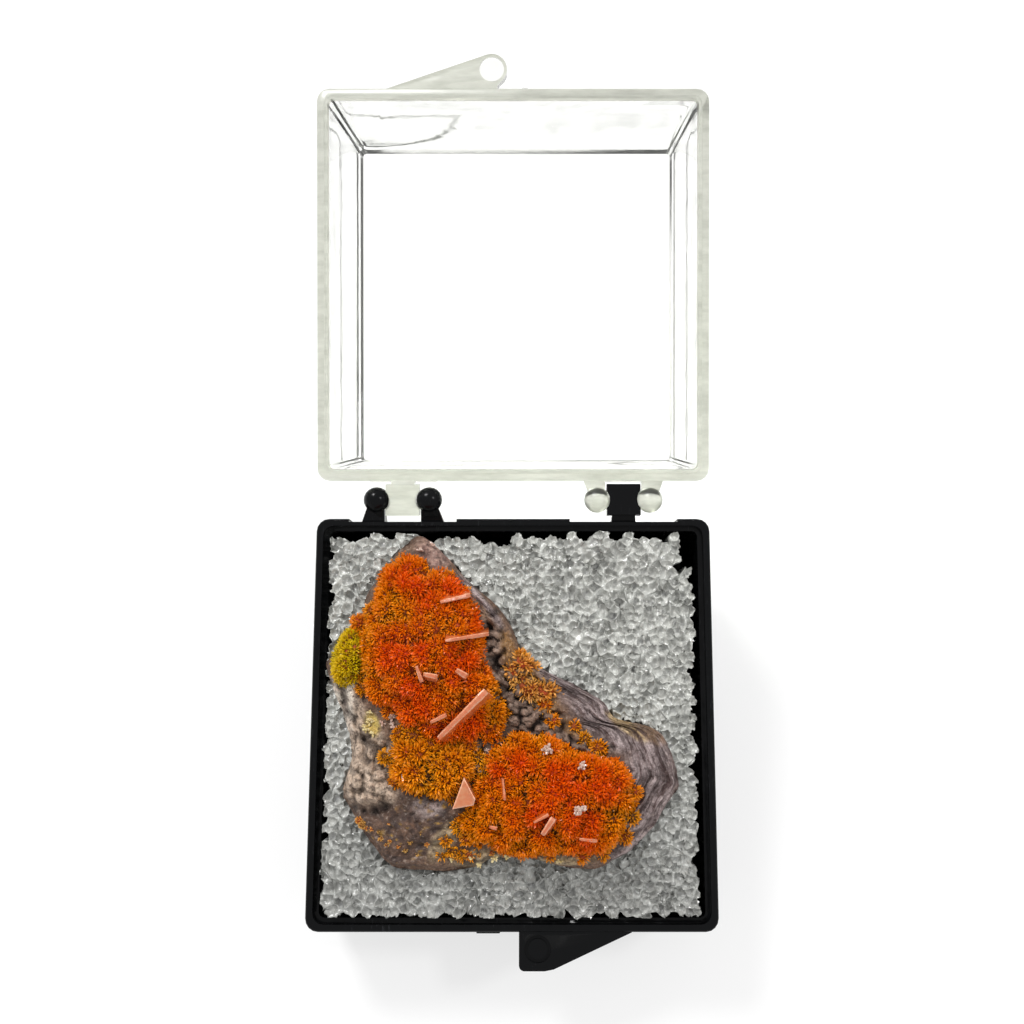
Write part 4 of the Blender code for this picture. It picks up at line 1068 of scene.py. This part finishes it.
BEVEL, BEVEL_TOP, CHIP = 0.09, 0.52, 0.16


def ground_height(x, y):
    """The needle tips' height, or the bare rock's, at one place."""
    x, y = np.array([x], float), np.array([y], float)
    height = rock_top(x, y)
    for centre, middle, edge, outline in DRUSES.values():
        if reach(outline, centre, x, y)[0] <= 1.12:
            height = np.maximum(height, druse_top(centre, middle, edge, outline, x, y))
    return float(height[0])


def wulfenite_finish(name, colour, clearness, tint):
    """Glassy wulfenite of one colour, veiled in places by another."""
    material, shader, place = finish_named(name)
    veil = speckle(place, 0.35, 3.0, 0.6)
    steps = speckle(stretched(place, z=5.0), 0.5, 2.0)
    fill(shader, {
        "Base Color": blended(ramp(veil, (0.4, 0.0), (0.75, 1.0)), colour, tint),
        "Roughness": ramp(veil, (0.35, 0.30), (0.75, 0.5)), "Normal": bumped(steps, 0.03),
        "Transmission Weight": clearness, "IOR": 2.28, "Specular IOR Level": 0.25})
    return material


clear_orange = wulfenite_finish("wulfenite_face", (0.82, 0.16, 0.025), 0.45, (0.88, 0.27, 0.085))
milky_pink = wulfenite_finish("wulfenite_edge", (0.84, 0.30, 0.13), 0.25, (0.92, 0.52, 0.34))
thick_orange = wulfenite_finish("wulfenite_thick", (0.86, 0.22, 0.05), 0.45, (0.92, 0.36, 0.13))


def plate(numbers, seed):
    """A tablet: bevelled along its exposed edge and ends, its foot among the needles."""
    x1, y1, x2, y2, rise1, rise2, foot_off, thick = numbers
    start, end = np.array((x1, y1)), np.array((x2, y2))
    along = (end - start) / np.hypot(*(end - start))
    across = np.array((-along[1], along[0]))
    z1, z2 = ground_height(x1, y1) + rise1, ground_height(x2, y2) + rise2
    points, faces = [], []
    for step in range(STATIONS):
        t = step / (STATIONS - 1)
        at_end = step in (0, STATIONS - 1)
        nick = 0.0 if at_end else 0.03 * (float(lattice(seed, step, 121)) - 0.5)
        chip = CHIP if at_end else 0.0
        top = start + (end - start) * t
        height = z1 + (z2 - z1) * t - chip + nick
        half = across * thick * 0.5 * (0.86 if at_end else 1.0) * (
            0.72 + 0.36 * t + 0.16 * float(lattice(seed, step, 122)))
        foot = top - across * foot_off
        low = ground_height(*foot) - ROOT
        points += [
            (*(top + half), height - BEVEL), (*(top + half * BEVEL_TOP), height),
            (*(top - half * BEVEL_TOP), height), (*(top - half), height - BEVEL),
            (*(foot - half), low), (*(foot + half), low)]
    rings = np.arange(6 * STATIONS).reshape(-1, 6).tolist()
    for before, here in zip(rings, rings[1:]):
        faces += [(b, a, d, c) for a, b, c, d in band(before, here)]
    # The two bevels and the ends are milky
    return points, faces + [tuple(rings[0]), tuple(reversed(rings[-1]))], (
        [1, 0, 1, 0, 0, 0] * (STATIONS - 1) + [1, 1])


def crystal_piece(name, points, faces, finish_of_face, materials, slot):
    """A flat-faced crystal or a group of them, with all its faces turned outwards."""
    mesh = mesh_of(name, points, faces, materials, smooth=False)
    mesh.polygons.foreach_set("material_index", finish_of_face)
    shape = bmesh.new()
    shape.from_mesh(mesh)
    bmesh.ops.recalc_face_normals(shape, faces=shape.faces)
    shape.to_mesh(mesh)
    shape.free()
    item = placed(name, mesh)
    return item


for number, numbers in enumerate(PLATES, 1):
    tablet = crystal_piece(f"wulfenite_tablet_{number:02d}", *plate(numbers, number),
                           [clear_orange, milky_pink], "wulfenite")
    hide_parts(f"wulfenite_plate_{number:02d}")

highest = max(ground_height(*corner) for corner in WEDGE)
low = [(x, y, ground_height(x, y) - ROOT) for x, y in WEDGE]
high = [(x, y, highest + 0.8 * rise) for (x, y), rise in zip(WEDGE, (1.0, 0.95, 0.5, 0.35))]
middle = tuple(sum(corner[axis] for corner in high) / 4 for axis in range(3))
rim_inset = [tuple(c + (m - c) * 0.14 + (0.05 if axis == 2 else 0)
                   for axis, (c, m) in enumerate(zip(corner, middle))) for corner in high]
wedge_faces = [(3, 2, 1, 0), (8, 9, 10, 11)]
for k, after in pairs([0, 1, 2, 3]):
    wedge_faces += [(k, after, after + 4, k + 4), (k + 4, after + 4, after + 8, k + 8)]
wedge = crystal_piece("wulfenite_wedge_crystal", low + high + rim_inset, wedge_faces,
                      [0, 0] + [0, 1] * 4, [thick_orange, milky_pink], "wulfenite")
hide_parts("wulfenite_wedge")

# Pale crystals
# Small rosettes of stubby pinkish-white crystals that grew last, on top of the needles.

# x, y, radius, crystals
ROSETTES = [(5.07, -23.54, 0.55, 26), (2.72, -19.30, 0.52, 22), (5.29, -20.40, 0.42, 16)]
# Peach ones beside the upper druse and on the tip, cream ones on the crust and along the foot
PEACH = [(-9.16, -16.94, 0.46, 14), (-9.0, -17.7, 0.42, 12), (-9.9, -17.5, 0.30, 8),
         (-7.3, -4.2, 0.36, 9), (-6.4, -3.8, 0.30, 7), (-2.9, -20.2, 0.24, 6),
         (-1.9, -19.5, 0.26, 6), (6.1, -19.2, 0.30, 7)]
CREAM = [(-10.9, -17.3, 0.46, 14), (-11.15, -17.9, 0.42, 12), (-10.6, -18.3, 0.34, 9),
         (-10.9, -16.7, 0.30, 8), (-3.2, -27.5, 0.36, 9), (-2.4, -28.0, 0.30, 8),
         (-1.3, -27.5, 0.40, 10), (-0.4, -27.3, 0.34, 8), (0.7, -27.3, 0.30, 8),
         (3.6, -27.6, 0.30, 8), (-4.6, -27.6, 0.30, 7)]
SIDES = 6


def prism(centre, axis, length, radius, roll):
    """A small six-sided crystal with a low point, closed."""
    axis = Vector(axis).normalized()
    side = axis.orthogonal().normalized()
    other = axis.cross(side)
    points = []
    for height, wide in ((-0.5, 0.8), (0.32, 1.0), (0.5, 0.45)):
        for k in range(SIDES):
            turn = roll + 2 * math.pi * k / SIDES
            points.append(tuple(Vector(centre) + axis * length * height
                                + (side * math.cos(turn) + other * math.sin(turn)) * radius * wide))
    foot, neck, point = np.arange(3 * SIDES).reshape(-1, SIDES).tolist()
    return points, [tuple(reversed(foot)), tuple(point)] + band(foot, neck) + band(neck, point)


def rosette(x, y, radius, count, seed, height):
    """Crystals that radiate from one point, the middle ones upright."""
    rng = np.random.default_rng(seed)
    solids = []
    for _ in range(count):
        turn, lean_out = rng.uniform(0, 2 * math.pi), rng.uniform(0.0, 1.35)
        axis = (math.cos(turn) * math.sin(lean_out), math.sin(turn) * math.sin(lean_out),
                math.cos(lean_out))
        length = radius * rng.uniform(0.8, 1.25)
        middle = tuple(c + a * length * 0.42 for c, a in zip((x, y, height - 0.1), axis))
        thick = radius * rng.uniform(0.16, 0.27)
        solids.append(prism(middle, axis, length, thick, rng.uniform(0, 1)))
    return joined(solids)


frosted, shader, place = finish_named("pale_crystal")
fill(shader, {
    "Base Color": ramp(speckle(place, 0.3), (0.3, (0.70, 0.42, 0.32)), (0.7, (0.84, 0.66, 0.56))),
    "Roughness": ramp(speckle(place, 0.15), (0.3, 0.12), (0.7, 0.4)),
    "Transmission Weight": 0.35, "IOR": 1.7})
cream, shader, place = finish_named("cream_crystal")
fill(shader, {
    "Base Color": ramp(speckle(place, 0.3), (0.3, (0.62, 0.44, 0.14)), (0.7, (0.82, 0.72, 0.42))),
    "Roughness": 0.35, "Transmission Weight": 0.2})

for number, (x, y, radius, count) in enumerate(ROSETTES, 1):
    points, faces = rosette(x, y, radius, count, number, ground_height(x, y))
    pale = crystal_piece(f"pale_rosette_{number}", points, faces, [0] * len(faces), [frosted],
                         "pale_crystal")
    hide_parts(f"pale_crystals_{number}")
for label, spots, finish in (("peach_crystals", PEACH, frosted), ("cream_crystals", CREAM, cream)):
    points, faces = joined(
        rosette(x, y, radius, count, 40 + number, stone_height(x, y) + 0.05)
        for number, (x, y, radius, count) in enumerate(spots))
    crystal_piece(label, points, faces, [0] * len(faces), [finish], "pale_crystal")

# Floor, light and camera
# A plain white table, soft light from a white room and two soft boxes, and a camera that looks
# down into the box from just in front of it.

floor_white, shader, place = finish_named("table_white")
fill(shader, {
    "Base Color": (0.30, 0.30, 0.30), "Roughness": 0.7, "Specular IOR Level": 0.1,
    "Emission Color": (1.0, 1.0, 1.0), "Emission Strength": 0.66})
bpy.ops.mesh.primitive_plane_add(size=1.6, location=(0, 0, 0))
table = bpy.context.object
table.name = "table_top"
table.data.materials.append(floor_white)

scene = bpy.context.scene
scene.view_settings.view_transform = "Standard"
room = bpy.data.worlds.new("white_room")
room.use_nodes = True
fill(room.node_tree.nodes["Background"], {"Color": (1.0, 1.0, 1.0), "Strength": 0.75})
scene.world = room


def soft_box(name, place, aim, size, watts):
    """A square lamp that faces what it is aimed at."""
    lamp = bpy.data.lights.new(name, "AREA")
    lamp.shape = "SQUARE"
    lamp.size = size
    lamp.energy = watts
    item = bpy.data.objects.new(name, lamp)
    item.location = place
    item.rotation_euler = (Vector(aim) - Vector(place)).to_track_quat("-Z", "Y").to_euler()
    scene.collection.objects.link(item)


soft_box("soft_box_left", (-0.16, 0.20, 0.33), (0, -0.01, 0.015), 0.10, 1.25)
soft_box("soft_box_right", (0.24, 0.02, 0.32), (0, -0.01, 0.015), 0.05, 0.40)
scene.cycles.max_bounces = 9
scene.cycles.diffuse_bounces = 2
scene.cycles.glossy_bounces = 6
scene.cycles.transmission_bounces = 9

FOCAL_PIXELS, MIDDLE_X, MIDDLE_Y, PICTURE = 1198.0, 535.0, 441.9, 1024
CAMERA_TURN = Matrix.Rotation(math.radians(-9.44), 4, "X")
CAMERA_SHIFT = Vector((-1.77, -4.70, -97.1))
stand = box_to_room @ (Matrix.Translation(CAMERA_SHIFT) @ CAMERA_TURN).inverted()
camera_data = bpy.data.cameras.new("camera")
camera_data.lens = FOCAL_PIXELS * camera_data.sensor_width / PICTURE
camera_data.shift_x = (PICTURE / 2 - MIDDLE_X) / PICTURE
camera_data.shift_y = (MIDDLE_Y - PICTURE / 2) / PICTURE
camera_data.clip_start, camera_data.clip_end = 0.005, 5.0
camera = bpy.data.objects.new("camera", camera_data)
camera.location = stand.translation
camera.rotation_euler = stand.to_quaternion().to_euler()
scene.collection.objects.link(camera)
scene.camera = camera
